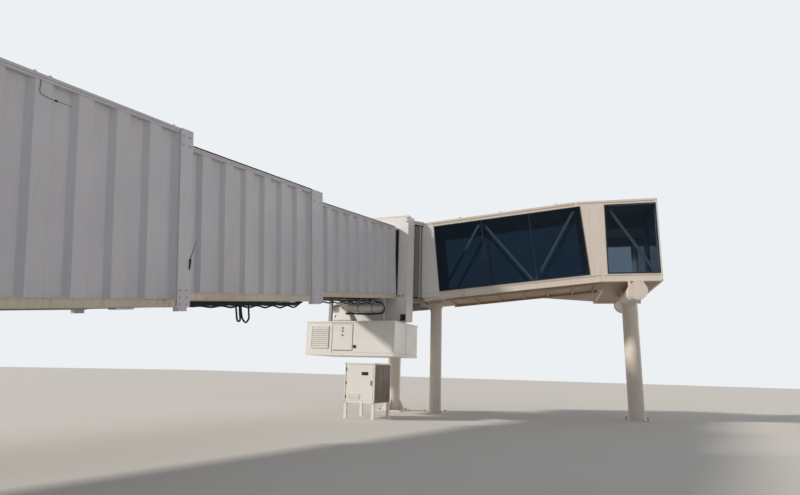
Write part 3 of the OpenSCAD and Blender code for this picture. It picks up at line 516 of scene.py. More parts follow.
Tunnel = namedtuple("Tunnel", "key body half low top start end frame")
TUNNELS = [Tunnel(key, body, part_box("tunnel_%s_walls" % key)[1].x, *sizes) for key, body, sizes in (
    ("a", "rotunda_turn", (0.0, 2.55, -0.06, -8.40, 0)),
    ("b", "tunnel_b", (-0.125, 2.75, -5.93, -13.80, 0.53)),
    ("c", "tunnel_c", (-0.25, 2.95, -10.61, -18.70, 0.30)))]
print("half widths:", [round(tunnel.half, 3) for tunnel in TUNNELS])

# %% [markdown]
# ## Bolts
# Frames, feet and flanges are held by big hexagon bolts with washers. One
# bolt is modelled well: a six-sided cylinder whose top is inset and raised to
# a chamfer, standing on a washer. It is then copied wherever bolts show.

# %% One hexagon bolt
WASHER = 0.006


def hex_bolt(size):
    """A bolt head of this width that sits on z = 0 and points up."""
    head = drum("bolt_head", (0, 0, WASHER), (0, 0, size * 0.6), size / 2, 6)
    edit_faces(head, looks_up, bpy.ops.mesh.inset, thickness=size * 0.12)
    edit_faces(head, lambda c, n: looks_up(c, n) and abs(c.x) < size * 0.1,
               bpy.ops.transform.translate, value=(0, 0, size * 0.06))
    washer = drum("washer", (0, 0, 0), (0, 0, WASHER), size * 0.72, 16)
    soften(washer, 0.0015, 1)
    return join("hex_bolt", [head, washer])


def bolts(name, places, body, size, **settings):
    """Equal bolts, joined into one piece."""
    fit(name, [repeat(hex_bolt(size), places)], body, galvanised, **settings)


# %% Bolts on the end frames, the feet and the portal
# Each side of an end frame has four bolts high up and six low down, painted over.
FRAME_OUT = 0.04
for tunnel in TUNNELS[1:]:
    spots = []
    for side in SIDES:
        for share in (0.75, 0.22):
            y = tunnel.start + tunnel.frame * share
            for z in (tunnel.low + 0.05, tunnel.low + 0.17, tunnel.low + 0.30,
                      tunnel.top - 0.11, tunnel.top - 0.28):
                spots.append(at((side * (tunnel.half + FRAME_OUT), y, z)) @ face_out(side))
    fit(tunnel.body + "_frame_bolts", [repeat(hex_bolt(0.036), spots)], tunnel.body, tunnel_enamel, on_slope)

# The feet of the three columns have a nut on each anchor.
FOOT_PLATE = 0.04
spots = []
for name, inset in (("rotunda_column", 0.12), ("capital_column", 0.09), ("crossbeam_column", 0.09)):
    low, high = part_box(name)
    spots += [at((x, y, FOOT_PLATE)) for x in (low.x + inset, high.x - inset)
              for y in (low.y + inset, high.y - inset)]
bolts("anchor_nuts", spots, "base", 0.075, slot="cream_paint")

# The portal has two bolts low on each side of its front and two high up at each edge.
spots = [at((x, PORTAL_FRONT, 4.08)) @ face_front for x in (-1.285, -1.15, 1.15, 1.285)]
spots += [at((x, PORTAL_FRONT, z)) @ face_front for x in (-1.385, 1.385) for z in (6.80, 6.92)]
bolts("portal_bolts", spots, "rotunda_turn", 0.055, slot="cream_paint")

# %% [markdown]
# ## Trim along the tunnels
# Each tunnel's bottom beam is a rolled channel, so its top and bottom edges
# stand out as thin flanges. The roof ends in a folded drip edge, and on the
# two inner tunnels that edge is covered by dark roofing. A long thin block
# with softened edges reads as such a flange.

# %% Beam flanges and roof edges
def strip(name, tunnel, side, inner, outer, low, high):
    """A thin strip along a tunnel, between two distances from its middle."""
    return panel(name, (side * inner, tunnel.end, low), (side * outer, tunnel.start, high), 0.004, 1)


for tunnel in TUNNELS:
    edge, top = tunnel.half + 0.012, tunnel.top
    outermost = tunnel.key == "c"
    cover = 0.01 if outermost else 0.028
    flanges, drips, covers = [], [], []
    for side in SIDES:
        for z in (tunnel.low, tunnel.low + 0.135):
            flanges.append(strip("flange", tunnel, side, edge, edge + 0.024, z, z + 0.015))
        drips.append(strip("drip", tunnel, side, edge, edge + 0.018, top - 0.03, top + 0.004))
        covers.append(strip("roofing", tunnel, side, edge - 0.11, edge + 0.022, top + 0.002, top + cover))
    name = "tunnel_%s_" % tunnel.key
    fit(name + "beam_flanges", flanges, tunnel.body, beam_enamel, on_slope)
    fit(name + "drip_edges", drips, tunnel.body, tunnel_enamel, on_slope)
    fit(name + "roofing", covers, tunnel.body, tunnel_enamel if outermost else seal_rubber, on_slope)

# %% [markdown]
# ## Lugs along the roofs
# The tunnels were lifted into place by small ears on the edge of each roof,
# and the walkway has the same. An ear is a plate whose top is drawn in, so
# a block gets its top face scaled down before its edges are softened.

# %% One lifting lug and its copies
def lug(size):
    """A tapered ear that stands on z = 0, thin along x."""
    ear = block("lug", (-0.012, -size / 2, 0), (0.012, size / 2, size * 0.35))
    draw_out(ear, looks_up, (0, 0, size * 0.4))
    edit_faces(ear, looks_up, bpy.ops.transform.resize, value=(1, 0.42, 1))
    return soften(ear, 0.006, 1)


# A pair of ears at the balance point of tunnel C, and one beside each end frame.
for tunnel, distances in ((TUNNELS[1], (0.12,)), (TUNNELS[2], (0.12, 2.40, 2.62))):
    spots = [at((side * (tunnel.half - 0.02), tunnel.start - far, tunnel.top + 0.004))
             for side in SIDES for far in distances]
    fit(tunnel.body + "_lugs", [repeat(lug(0.065), spots)], tunnel.body, white_enamel, on_slope)

# %% [markdown]
# ## The air unit
# The air unit is a big box of folded sheet. Flat panels stand a little proud
# of it, with an intake louvre at the left of its front and an access panel
# with three small knobs beside it. The louvre is a block whose face is inset
# and pushed in, and its blades are thin blocks turned by 35 degrees.

# %% A louvre
def louvre(width, height, blades, depth=0.03, rim=0.03):
    """A framed louvre that stands on the origin, faces -y and reaches back to y = 0."""
    def looks_ahead(centre, normal):
        return normal.y < -0.9

    def is_field(centre, normal):
        in_middle = abs(centre.x - width / 2) < 0.01 and abs(centre.z - height / 2) < 0.01
        return looks_ahead(centre, normal) and in_middle

    surround = block("louvre_frame", (0, -depth, 0), (width, 0, height))
    edit_faces(surround, looks_ahead, bpy.ops.mesh.inset, thickness=rim)
    draw_out(surround, is_field, (0, depth * 0.8, 0))
    soften(surround, 0.003, 1)
    pitch = (height - 2 * rim) / blades
    blade = block("blade", (rim - 0.004, -0.003, -pitch * 0.6), (width - rim + 0.004, 0.003, pitch * 0.6))
    settle(blade, turned(-35, "X"))
    rows = [at((0, -depth * 0.45, rim + (i + 0.5) * pitch)) for i in range(blades)]
    return join("louvre", [surround, repeat(blade, rows)])


# %% Panels and intake of the air unit
low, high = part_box("air_unit")
PROUD, SUNK = 0.012, 0.01
foot, head = low.z + 0.10, high.z - 0.05
left, right, bottom, top = -0.80, -0.05, 2.13, 3.00
panels = [
    panel("front", (left, low.y - 2 * PROUD, bottom), (right, low.y + SUNK, top)),
    panel("front", (0.02, low.y - PROUD, foot), (high.x - 0.04, low.y + SUNK, head)),
]
for y_from, y_to in ((low.y + 0.04, low.y + 1.04), (low.y + 1.08, high.y - 0.04)):
    panels.append(panel("side", (high.x - SUNK, y_from, foot), (high.x + PROUD, y_to, head)))
for i in range(3):
    x = low.x + 0.04 + i * (high.x - low.x - 0.04) / 3
    panels.append(panel("back", (x, high.y - SUNK, foot), (x + 1.04, high.y + PROUD, head)))
fit("air_unit_panels", panels, "rotunda_turn", white_enamel)
intake = [louvre(0.69, 0.75, 10)]
fit("air_unit_intake", intake, "rotunda_turn", white_enamel, at((-1.66, low.y, 2.19)))

# %% Base channel, lid and knobs of the air unit
def belt(name, low, high, z_from, z_to, out, thick=0.006):
    """A band of folded sheet round a box, standing out by this much."""
    band = block(name, (low.x - out, low.y - out, z_from), (high.x + out, high.y + out, z_to))
    edit_faces(band, lambda c, n: abs(n.z) > 0.9, bpy.ops.mesh.delete, type="FACE")
    modify(band, "SOLIDIFY", thickness=thick, offset=-1)
    return soften(band, 0.002, 1)


# The left side is the end of the whole bridge there, so the belts sink into it.
inset = low + Vector((0.02, 0, 0))
lid = belt("lid", inset, high, high.z - 0.045, high.z + 0.004, 0.016)
base = belt("base", inset, high, low.z - 0.002, low.z + 0.085, 0.014)
fit("air_unit_trim", [lid, base], "rotunda_turn", white_enamel)
marks = [
    panel("seam", (-0.836, low.y - 0.008, low.z + 0.09), (-0.826, low.y + 0.005, head), 0.002),
    panel("catch", (0.0, low.y - 0.035, 2.20), (0.09, low.y - SUNK, 2.30), 0.006),
]
for z in (bottom - 0.005, top - 0.003):
    marks.append(panel("line", (left, low.y - 0.026, z), (right, low.y, z + 0.008), 0.002))
KNOB_X, KNOB_HEIGHTS = -0.43, (2.87, 2.77, 2.63)
for z in KNOB_HEIGHTS:
    marks.append(rod("knob", (KNOB_X, low.y - 0.02, z), (KNOB_X, low.y - 0.055, z), 0.024, 16, 0.006))
fit("air_unit_dark_marks", marks, "rotunda_turn", seal_rubber)

# %% [markdown]
# ## The air duct
# The duct leaves the unit through a tapered hood and ends in a cross pipe
# under tunnel A. Bands of angle iron close the joints of such sheet ducts, so
# short drums wrap the pipe and belts wrap the hood.

# %% Bands on the duct
duct_low, duct_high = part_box("air_duct")
middle = Vector((-0.53, -3.20, high.z + 0.48))
DUCT_R, BAND = 0.15, 0.035
bands = []
for x in (duct_low.x + 0.004, duct_low.x + 0.55, duct_low.x + 1.10, duct_high.x - 0.32):
    start, end = (x, middle.y, middle.z), (x + BAND, middle.y, middle.z)
    bands.append(rod("band", start, end, DUCT_R + 0.014, 40, 0.004))
hood = Vector((0.33, 0.25, 0))
bands.append(belt("hood_foot", middle - hood, middle + hood, high.z + 0.004, high.z + 0.05, 0.02))
neck = Vector((0.16, 0.16, 0))
bands.append(belt("hood_neck", middle - neck, middle + neck, middle.z + 0.20, middle.z + 0.24, 0.015))
fit("air_duct_bands", bands, "rotunda_turn", galvanised, slot="white_paint")

# %% [markdown]
# ## The power cabinet
# The cabinet is white in front, inside a raised rim. Its sides and back are
# dark brown-grey, which is painted shade. Its door has three hinges, a lever,
# a plain dark window and a vent. The rim and the lid are belts and panels as
# on the air unit.

# %% Door, rim and lid of the cabinet
low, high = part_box("power_cabinet")
foot = 0.48
RIM = 0.035
door = [panel("door", (low.x + 0.06, low.y - 0.012, foot + 0.06),
              (high.x - 0.06, low.y + SUNK, high.z - 0.06))]
for x_from, x_to, z_from, z_to in (
        (low.x, low.x + RIM, foot, high.z), (high.x - RIM, high.x, foot, high.z),
        (low.x, high.x, foot, foot + RIM), (low.x, high.x, high.z - RIM, high.z)):
    door.append(panel("rim", (x_from, low.y - 0.02, z_from), (x_to, low.y + SUNK, z_to), 0.004))
door.append(belt("lid", low, high, high.z - 0.03, high.z + 0.012, 0.018))
fit("cabinet_door_and_rim", door, "base", white_enamel)
vent = [louvre(0.42, 0.16, 5, 0.016, 0.014)]
fit("cabinet_vent", vent, "base", white_enamel, at((low.x + 0.13, low.y - 0.012, foot + 0.12)))

# %% Sides, window, hinges and lever of the cabinet
head = high.z - RIM
sides = []
for x in (low.x, high.x):
    for y_from, y_to in ((low.y + 0.03, low.y + 0.60), (low.y + 0.62, high.y - 0.03)):
        sides.append(panel("side", (x - 0.008, y_from, foot + 0.01), (x + 0.008, y_to, head)))
sides.append(panel("back", (low.x + 0.03, high.y - SUNK, foot + 0.01),
                   (high.x - 0.03, high.y + 0.008, head)))
# The side and back panels are dark with painted shade.
fit("cabinet_side_panels", sides, "base", cabinet_side_shade)
marks = [panel("window", (0.70, low.y - 0.02, 1.33), (0.93, low.y - 0.005, 1.43), 0.004)]
x, y = low.x + 0.05, low.y - 0.02
marks += [rod("hinge", (x, y, z), (x, y, z + 0.09), 0.011, 12, 0.002)
          for z in (foot + 0.14, foot + 0.56, high.z - 0.24)]
fit("cabinet_window_and_hinges", marks, "base", seal_rubber)
x, y = high.x - 0.12, low.y
lever = [panel("plate", (x - 0.03, y - 0.02, 1.02), (x + 0.03, y - 0.008, 1.18), 0.004),
         rod("lever", (x, y - 0.035, 1.03), (x, y - 0.035, 1.15), 0.009, 12, 0.003),
         rod("pivot", (x, y - 0.012, 1.14), (x, y - 0.045, 1.14), 0.016, 16, 0.003)]
fit("cabinet_lever", lever, "base", galvanised)

# %% [markdown]
# ## The walkway's windows
# Each window sits in a black rubber gasket, and two dark joints divide the
# long one into three panes. The walkway climbs at 5.6 degrees, so its long
# window is drawn square on a matrix that climbs with it.

# %% Gaskets and joints
CLIMB = math.radians(5.6)
WALKWAY_FROM, WALKWAY_FLOOR, WALKWAY_HALF = 1.37, 4.08, 1.12
climb = along @ at((WALKWAY_FROM, 0, WALKWAY_FLOOR)) @ Matrix.Rotation(-CLIMB, 4, "Y")


def gasket(x_from, x_to, z_from, z_to, y, out, width=0.03, deep=0.016):
    """A rubber frame round an opening in a wall that faces y, standing out by its sign."""
    bars = []
    for a, b, c, d in ((x_from - width, x_to + width, z_to - 0.01, z_to + width),
                       (x_from - width, x_to + width, z_from - width, z_from + 0.01),
                       (x_from - width, x_from + 0.01, z_from, z_to),
                       (x_to - 0.01, x_to + width, z_from, z_to)):
        bars.append(panel("gasket", (a, y, c), (b, y + out * deep, d), 0.004))
    return join("gasket", bars)


# Each window is given from, to, sill and head, and the long one's joints by x.
LONG_WINDOW = (0.675, 6.02, 0.32, 2.80)
END_WINDOW = (7.97, 9.62, 5.015, 7.469)
JOINTS = (2.465, 4.23)
z_from, z_to = LONG_WINDOW[2:]
rubber = []
for side in SIDES:
    rubber.append(settle(gasket(*LONG_WINDOW, side * WALKWAY_HALF, side), climb))
    y = side * (WALKWAY_HALF - 0.022)
    for x in JOINTS:
        joint = panel("joint", (x - 0.014, y - 0.024, z_from), (x + 0.014, y + 0.024, z_to), 0.004)
        rubber.append(settle(joint, climb))
rubber.append(settle(gasket(*END_WINDOW, -WALKWAY_HALF, -1), along))
fit("walkway_window_gaskets", rubber, "base", seal_rubber)

# %% Strips and lugs on the walkway
def wall_strip(name, side, x_from, x_to, z_from, z_to, place, edge=0.005):
    """A folded strip that lies on one wall of the walkway."""
    y = side * WALKWAY_HALF
    piece = panel(name, (x_from, y, z_from), (x_to, y + side * 0.022, z_to), edge)
    return settle(piece, place)


strips = []
for side in SIDES:
    strips.append(wall_strip("sill", side, 0.0, 6.36, 0.235, 0.265, climb, 0.004))
    strips.append(wall_strip("foot", side, 0.0, 6.42, 0.002, 0.05, climb))
    strips.append(wall_strip("eaves", side, 0.0, 5.84, 2.93, 3.01, climb))
strips.append(wall_strip("foot", -1, 7.80, 9.69, 4.712, 4.76, along))
strips.append(wall_strip("sill", -1, 7.82, 9.69, 4.93, 4.96, along, 0.004))
strips.append(wall_strip("eaves", -1, 7.0, 9.69, 7.58, 7.655, along))
fit("walkway_strips", strips, "base", cream_enamel)

ROOF_UP, EARS = 3.0145, (2.75, 4.26, 6.30)
spots = []
for side in SIDES:
    for x in EARS:
        z = WALKWAY_FLOOR + ROOF_UP + (x - WALKWAY_FROM) * math.tan(CLIMB)
        spots.append(along @ at((x, side * 1.10, z)) @ quarter_turn)
fit("walkway_lugs", [repeat(lug(0.10), spots)], "base", cream_enamel)

# %% Grey panel and grille beside the rotunda
wall = -WALKWAY_HALF
plates = [settle(panel("cladding", (-0.02, wall - 0.012, 0.12), (0.63, wall, 2.93), 0.004), climb)]
plates.append(settle(panel("corner_post", (9.63, wall - 0.01, 4.765), (9.69, wall, 7.57), 0.004), along))
fit("walkway_grey_panels", plates, "base", cladding_enamel)
bar = panel("bar", (-0.014, -0.016, 0), (0.014, 0, 0.085), 0.003)
grille = [repeat(bar, [at((0.10 + i * 0.055, wall, 0.02)) for i in range(10)])]
fit("foot_grille", grille, "base", cream_enamel, climb)
clip = panel("clip", (0.0, wall - 0.02, 0.035), (0.06, wall, 0.09), 0.006)
fit("foot_clip", [clip], "base", seal_rubber, climb)

# %% [markdown]
# ## Under the walkway
# The floor of the walkway is carried by folded cross ribs and two rails. The
# crossbeam is a big pipe with four raised rims and two saddles of flat bar.
# The floor and its ribs get a darker, browner cream: painted shade under the
# walkway, with some dust.

# %% Ribs under the floor
RIBS = (0.95, 1.85, 2.75, 3.65, 4.55, 5.45, 6.20)
rib = panel("rib", (-0.03, -1.02, -0.055), (0.03, 1.02, 0.002), 0.004)
ribs = [repeat(rib, [at((x, 0, 0)) for x in RIBS])]
ribs += [panel("rail", (0.85, y - 0.035, -0.075), (6.40, y + 0.035, 0.002), 0.004) for y in (-1.0, 1.0)]
for piece in ribs:
    settle(piece, climb)
fit("walkway_floor_ribs", ribs, "base", soffit_dust_and_shade)

# %% Rims and saddles of the crossbeam
BEAM_AT, BEAM_Z, BEAM_R = 8.83, 4.35, 0.30
BEAM_RIMS, SADDLES = (-1.385, -1.02, 1.02, 2.83), (-1.15, 1.09)
rims = [rod("ring", (BEAM_AT, y - 0.015, BEAM_Z), (BEAM_AT, y + 0.015, BEAM_Z), BEAM_R + 0.008, 56, 0.003)
        for y in BEAM_RIMS]
fit("crossbeam_bands", rims, "base", cream_enamel, along)
saddles = []
for y in SADDLES:
    for aside in (-0.21, 0, 0.21):
        x, foot = BEAM_AT + aside, BEAM_Z + math.sqrt((BEAM_R + 0.002) ** 2 - aside ** 2)
        saddles.append(panel("saddle", (x - 0.035, y, foot - 0.01), (x + 0.035, y + 0.03, 4.74), 0.004))
fit("crossbeam_saddles", saddles, "base", cream_enamel, along)

# %% [markdown]
# ## Rotunda trim
# The roof of the rotunda ends in a thin flashing. The slat curtains run in
# upright guides, and a black rubber lip closes tunnel A against the portal.
# The flashing is a drum without its ends and without the stretch where the
# walkway begins.

# %% Flashing, guides and hems
def open_band(name, z_from, z_to, radius, thick, in_gap):
    """A band round the rotunda that leaves out the ends and the faces in a gap."""
    band = drum(name, (0, 0, z_from), (0, 0, z_to), radius, 120)
    edit_faces(band, lambda c, n: abs(n.z) > 0.9 or in_gap(c), bpy.ops.mesh.delete, type="FACE")
    return modify(band, "SOLIDIFY", thickness=thick, offset=1)


def at_walkway(centre, distance):
    """Passes the faces past this distance towards the walkway."""
    return (along.inverted() @ centre).x > distance


ROUND, CURTAIN = 1.775, 1.735
CURTAIN_FOOT, CURTAIN_HEAD, HEM = 4.145, 6.985, 0.05
roof_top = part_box("rotunda_roof")[1].z
flashing = open_band("flashing", roof_top - 0.065, roof_top + 0.012, ROUND, 0.008,
                     lambda c: at_walkway(c, 1.36))
fit("flashing", [soften(flashing, 0.002, 1)], "base", cream_enamel)
guide = join("guide", [
    panel("web", (CURTAIN - 0.01, -0.03, CURTAIN_FOOT), (CURTAIN + 0.012, 0.03, CURTAIN_HEAD), 0.003),
    panel("nose", (CURTAIN + 0.008, -0.012, CURTAIN_FOOT), (CURTAIN + 0.022, 0.012, CURTAIN_HEAD), 0.003)])
GUIDES = (-37.5, 52, 90, 130, 170, 212)
fit("curtain_guides", [repeat(guide, [turned(angle, "Z") for angle in GUIDES])], "base", galvanised)
hems = [open_band("hem", z, z + HEM, CURTAIN + 0.006, 0.006,
                  lambda c: at_walkway(c, 1.30) or (c.y < 0 and abs(c.x) < 1.02))
        for z in (CURTAIN_FOOT, CURTAIN_HEAD - HEM)]
fit("curtain_hems", hems, "base", seal_rubber)

# %% The portal's lip, pockets, stiffeners and edge angles
front = PORTAL_FRONT
lips = [panel("lip", (side * 1.040, front - 0.032, 4.02), (side * 1.072, front, 6.50), 0.006)
        for side in SIDES]
lips.append(panel("lip", (-1.072, front - 0.032, 6.47), (1.072, front, 6.505), 0.006))
fit("portal_seal_lip", lips, "rotunda_turn", seal_rubber)
# The pockets are thin black plates on the face: their black is painted shade of the hollows.
pockets, plates = [], []
for side in SIDES:
    pockets.append(panel("pocket", (side * 1.205, front - 0.007, 3.20), (side * 1.405, front, 3.43), 0.003))
    plates.append(panel("lintel", (side * 1.19, front - 0.014, 3.43), (side * 1.42, front, 3.46), 0.004))
    for y in (front, front + 0.56):
        plates.append(panel("edge", (side * 1.42, y, 3.22), (side * 1.431, y + 0.04, 7.02), 0.003))
    plates.append(panel("foot", (side * 1.42, front, 3.165), (side * 1.431, front + 0.23, 3.20), 0.003))
plates.append(panel("crown", (-1.43, front - 0.012, 6.99), (1.43, front, 7.03), 0.004))
fit("portal_pockets_painted_shade", pockets, "rotunda_turn", seal_rubber)
fit("portal_edges", plates, "rotunda_turn", cladding_enamel, slot="cream_paint")

# %% [markdown]
# ## The whip on the end frame
# A short black whip in a thick sleeve leans out from the edge of tunnel C's
# end frame. It is two tapered drums that meet.

# %% Whip on the end frame
x = 1.366
whip = [drum("rod", (x, -10.327, 0.60), (x, -10.19, 0.96), 0.006, 12, 0.004),
        drum("sleeve", (x, -10.345, 0.42), (x, -10.325, 0.61), 0.012, 16, 0.022)]
for piece in whip:
    soften(piece, 0.002, 1)
fit("frame_whip", whip, "tunnel_c", seal_rubber, on_slope)

# %% [markdown]
# ## The canopy
# The canopy closes the gap in front of the cab with pleated coated cloth. A
# grid is bent by a formula into a hood with five pleats, thickened and
# subdivided, and light arches of bar hold its valleys.

# %% The line that the hood follows
low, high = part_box("canopy")
PLEATS, FLOOR_Z = 5, low.z
VALLEY, PEAK, CORNER = 0.035, 0.125, 0.10
INNER = high.x - 0.192
BACK, DEPTH = high.y - 0.004, high.y - low.y - 0.03


def arch(share, out):
    """The point at this share of the way round a hood that stands out by this much."""
    half, top = INNER + out, high.z - 0.135 + out * 0.9
    rise = top - CORNER - FLOOR_Z
    bend = CORNER * math.pi / 2
    span = 2 * (half - CORNER)
    way = share * (2 * rise + 2 * bend + span)
    if way < rise:
        return -half, FLOOR_Z + 0.01 + way
    way -= rise
    if way < bend:
        turn = way / CORNER
        return -half + CORNER * (1 - math.cos(turn)), top - CORNER * (1 - math.sin(turn))
    way -= bend
    if way < span:
        return -half + CORNER + way, top
    way -= span
    if way < bend:
        turn = way / CORNER
        return half - CORNER * (1 - math.sin(turn)), top - CORNER * (1 - math.cos(turn))
    return half, top - CORNER - (way - bend)


def grid(name, columns, rows):
    """A flat grid primitive of one metre."""
    return fresh(name, bpy.ops.mesh.primitive_grid_add, x_subdivisions=columns, y_subdivisions=rows, size=1)


# %% Pleated hood
hood = grid("pleated_canopy", 72, PLEATS * 8)
for vertex in hood.data.vertices:
    round_it, along_it = vertex.co.x + 0.5, vertex.co.y + 0.5
    fold = abs((along_it * PLEATS) % 1 - 0.5) * 2
    out = PEAK - (PEAK - VALLEY) * fold ** 0.8 + 0.006 * math.sin(9 * round_it * math.pi) * fold
    x, z = arch(round_it, out)
    vertex.co = (x, BACK - along_it * DEPTH, z)
modify(hood, "SOLIDIFY", thickness=0.005, offset=0)
modify(hood, "SUBSURF", levels=1)
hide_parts("canopy")
fit("pleated_canopy", [hood], "tunnel_c", canopy_cloth)

# %% Arches, bumper and threshold of the canopy
def hoop(name, y, out, thick, deep):
    """A flat bar that follows the hood at one place."""
    bar = grid(name, 60, 1)
    for vertex in bar.data.vertices:
        x, z = arch(vertex.co.x + 0.5, out)
        vertex.co = (x, y + vertex.co.y * deep, z)
    modify(bar, "SOLIDIFY", thickness=thick, offset=0)
    return soften(bar, 0.002, 1)


hoops = [hoop("hoop", BACK - i / PLEATS * DEPTH, VALLEY - 0.012, 0.008, 0.03) for i in range(1, PLEATS)]
fit("canopy_arches", hoops, "tunnel_c", galvanised)
bumper = hoop("lip", low.y + 0.04, 0.09, 0.05, 0.06)
fit("canopy_bumper", [bumper], "tunnel_c", seal_rubber)
DOOR = 0.80
sill = [panel("sill", (-DOOR, low.y + 0.02, FLOOR_Z - 0.06), (DOOR, low.y + 0.10, FLOOR_Z), 0.015),
        panel("flap", (-DOOR, low.y + 0.10, FLOOR_Z - 0.05), (DOOR, high.y, FLOOR_Z - 0.01), 0.005)]
fit("canopy_threshold", sill, "tunnel_c", seal_rubber)

# %% [markdown]
# ## The cab
# The cab's side windows sit in the same gaskets as the walkway's, folded strips
# run along its walls, and rubber strips seal its doorway.

# %% Cab gaskets, door seals and strips
low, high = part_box("cab_walls")
glass_low, glass_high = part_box("cab_glass")
rubber = []
for side in SIDES:
    ring = gasket(glass_low.y, glass_high.y, glass_low.z, glass_high.z, -side * high.x, -side)
    rubber.append(settle(ring, quarter_turn))
    rubber.append(panel("door_seal", (side * DOOR, low.y - 0.012, FLOOR_Z),
                        (side * (DOOR + 0.03), low.y, FLOOR_Z + 2.15), 0.004))
fit("cab_seals", rubber, "tunnel_c", seal_rubber)
y_from, y_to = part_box("cab_roof")[0].y + 0.60, low.y + 2.88
trim = [panel("strip", (-1.05, low.y - 0.014, high.z - 0.10), (1.05, low.y, high.z - 0.04), 0.004)]
for side in SIDES:
    for z in (low.z + 0.02, low.z + 0.84, high.z - 0.10):
        trim.append(panel("strip", (side * high.x, y_from, z),
                          (side * (high.x + 0.022), y_to, z + 0.05), 0.004))
fit("cab_strips", trim, "tunnel_c", cream_enamel)

# %% [markdown]
# ## The drive column
# Two square sleeves hold the lifting screws. They get bolted collars and
# screw housings on top. The wheels get dished rims with a ring of bolts and
# lugs on the shoulders of their solid tyres.

# %% Collars and housings on the sleeves
low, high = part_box("lift_sleeves")
mid_y = (low.y + high.y) / 2
SLEEVE, COLLAR = 0.34, 0.11
collars, housings, spots = [], [], []
for side in SIDES:
    x = side * (high.x - SLEEVE / 2)
    corner, half = Vector((x, mid_y, 0)), Vector((SLEEVE / 2, SLEEVE / 2, 0))
    for z in (low.z, low.z + 0.55, high.z - 0.12):
        collars.append(belt("collar", corner - half, corner + half, z, z + COLLAR, 0.012, 0.012))
        for y in (mid_y - 0.12, mid_y + 0.12):
            spots.append(at((side * (high.x + 0.012), y, z + COLLAR / 2)) @ face_out(side))
    housings.append(rod("housing", (x, mid_y, high.z), (x, mid_y, high.z + 0.16), 0.11, 32, 0.01))
    housings.append(rod("motor", (x, mid_y, high.z + 0.15), (x, mid_y, high.z + 0.38), 0.08, 32, 0.012))
fit("sleeve_collars", collars, "tunnel_c", grey_enamel)
fit("screw_housings", housings, "tunnel_c", grey_enamel)
bolts("sleeve_bolts", spots, "tunnel_c", 0.035)

# %% Rims and hub bolts
TYRE_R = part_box("wheels")[1].z / 2
TYRES = (-1.18, -0.82, 0.82, 1.18)
RIM_R, HUB_R, BOLT_RING, HUB_BOLTS = 0.235, 0.085, 0.15, 8
rims, spots = [], []
for x in TYRES:
    side = math.copysign(1, x) * (1 if abs(x) > 1 else -1)
    face = x + side * 0.092
    hub = Vector((face, mid_y, TYRE_R))
    step = Vector((side, 0, 0))
    rim = drum("rim", hub, hub + step * 0.03, RIM_R, 48)
    edit_faces(rim, lambda c, n: n.x * side > 0.9, bpy.ops.mesh.inset, thickness=0.035)
    draw_out(rim, lambda c, n: n.x * side > 0.9 and abs(c.y - mid_y) + abs(c.z - TYRE_R) < 0.02,
             (-side * 0.022, 0, 0))
    rims.append(soften(rim, 0.003, 1))
    rims.append(rod("hub", hub, hub + step * 0.055, HUB_R, 32, 0.008))
    for i in range(HUB_BOLTS):
        angle = math.radians(360 / HUB_BOLTS * i)
        on_ring = Vector((side * 0.009, BOLT_RING * math.cos(angle), BOLT_RING * math.sin(angle)))
        spots.append(at(hub + on_ring) @ face_out(side))
fit("wheel_rims", rims, "drive", grey_enamel)
bolts("hub_bolts", spots, "drive", 0.036)

# %% Lugs on the tyres
LUGS = 30
spots = []
for x in TYRES:
    for edge in SIDES:
        lean = at((edge * 0.122, 0, TYRE_R - 0.034)) @ turned(45 * edge, "Y")
        for i in range(LUGS):
            roll = turned(360 / LUGS * i + 3 * edge, "X")
            spots.append(at((x, mid_y, TYRE_R)) @ roll @ lean)
tread = panel("tread_lug", (-0.035, -0.028, -0.006), (0.035, 0.028, 0.006), 0.003)
fit("tread_lugs", [repeat(tread, spots)], "drive", tyre_rubber)

# %% [markdown]
# ## Cables under the tunnels
# Power and control cables run under each tunnel's floor, tied in a bundle
# that sags a little between its ties, and two short loops hang down where the
# bundle is longest. They are tubes along smoothed lines.

# %% A cable from a line of points
def smoothed(points, steps=6):
    """More points on one smooth line through all of these."""
    points = [Vector(p) for p in points]
    ends = [2 * points[0] - points[1]] + points + [2 * points[-1] - points[-2]]
    line = []
    for a, b, c, d in zip(ends, ends[1:], ends[2:], ends[3:]):
        for i in range(steps):
            t = i / steps
            line.append(b + (c - a) * t / 2 + (2 * a - 5 * b + 4 * c - d) * t ** 2 / 2
                        + (3 * b - 3 * c + d - a) * t ** 3 / 2)
    return line + [points[-1]]


def cable(name, line, diameter):
    """A round cable that follows a line of points, with closed ends."""
    piece = fresh(name, bpy.ops.curve.primitive_nurbs_path_add, location=(0, 0, 0))
    piece.data.splines.clear()
    run = piece.data.splines.new("POLY")
    run.points.add(len(line) - 1)
    for point, place in zip(run.points, line):
        point.co = (*place, 1)
    piece.data.bevel_depth = diameter / 2
    piece.data.bevel_resolution = 2
    piece.data.use_fill_caps = True
    only(piece)
    bpy.ops.object.convert(target="MESH")
    return bpy.context.object


# %% A bundle of cables with its loops
# Each cable has a place across the bundle and a share of the bundle's sag.
LAID = ((0, 0.3), (1, 0.3), (2, 0.3), (0.4, 0.66), (1.5, 0.66), (0.9, 1.0))
TIE_PITCH, CABLE = 0.55, 0.042


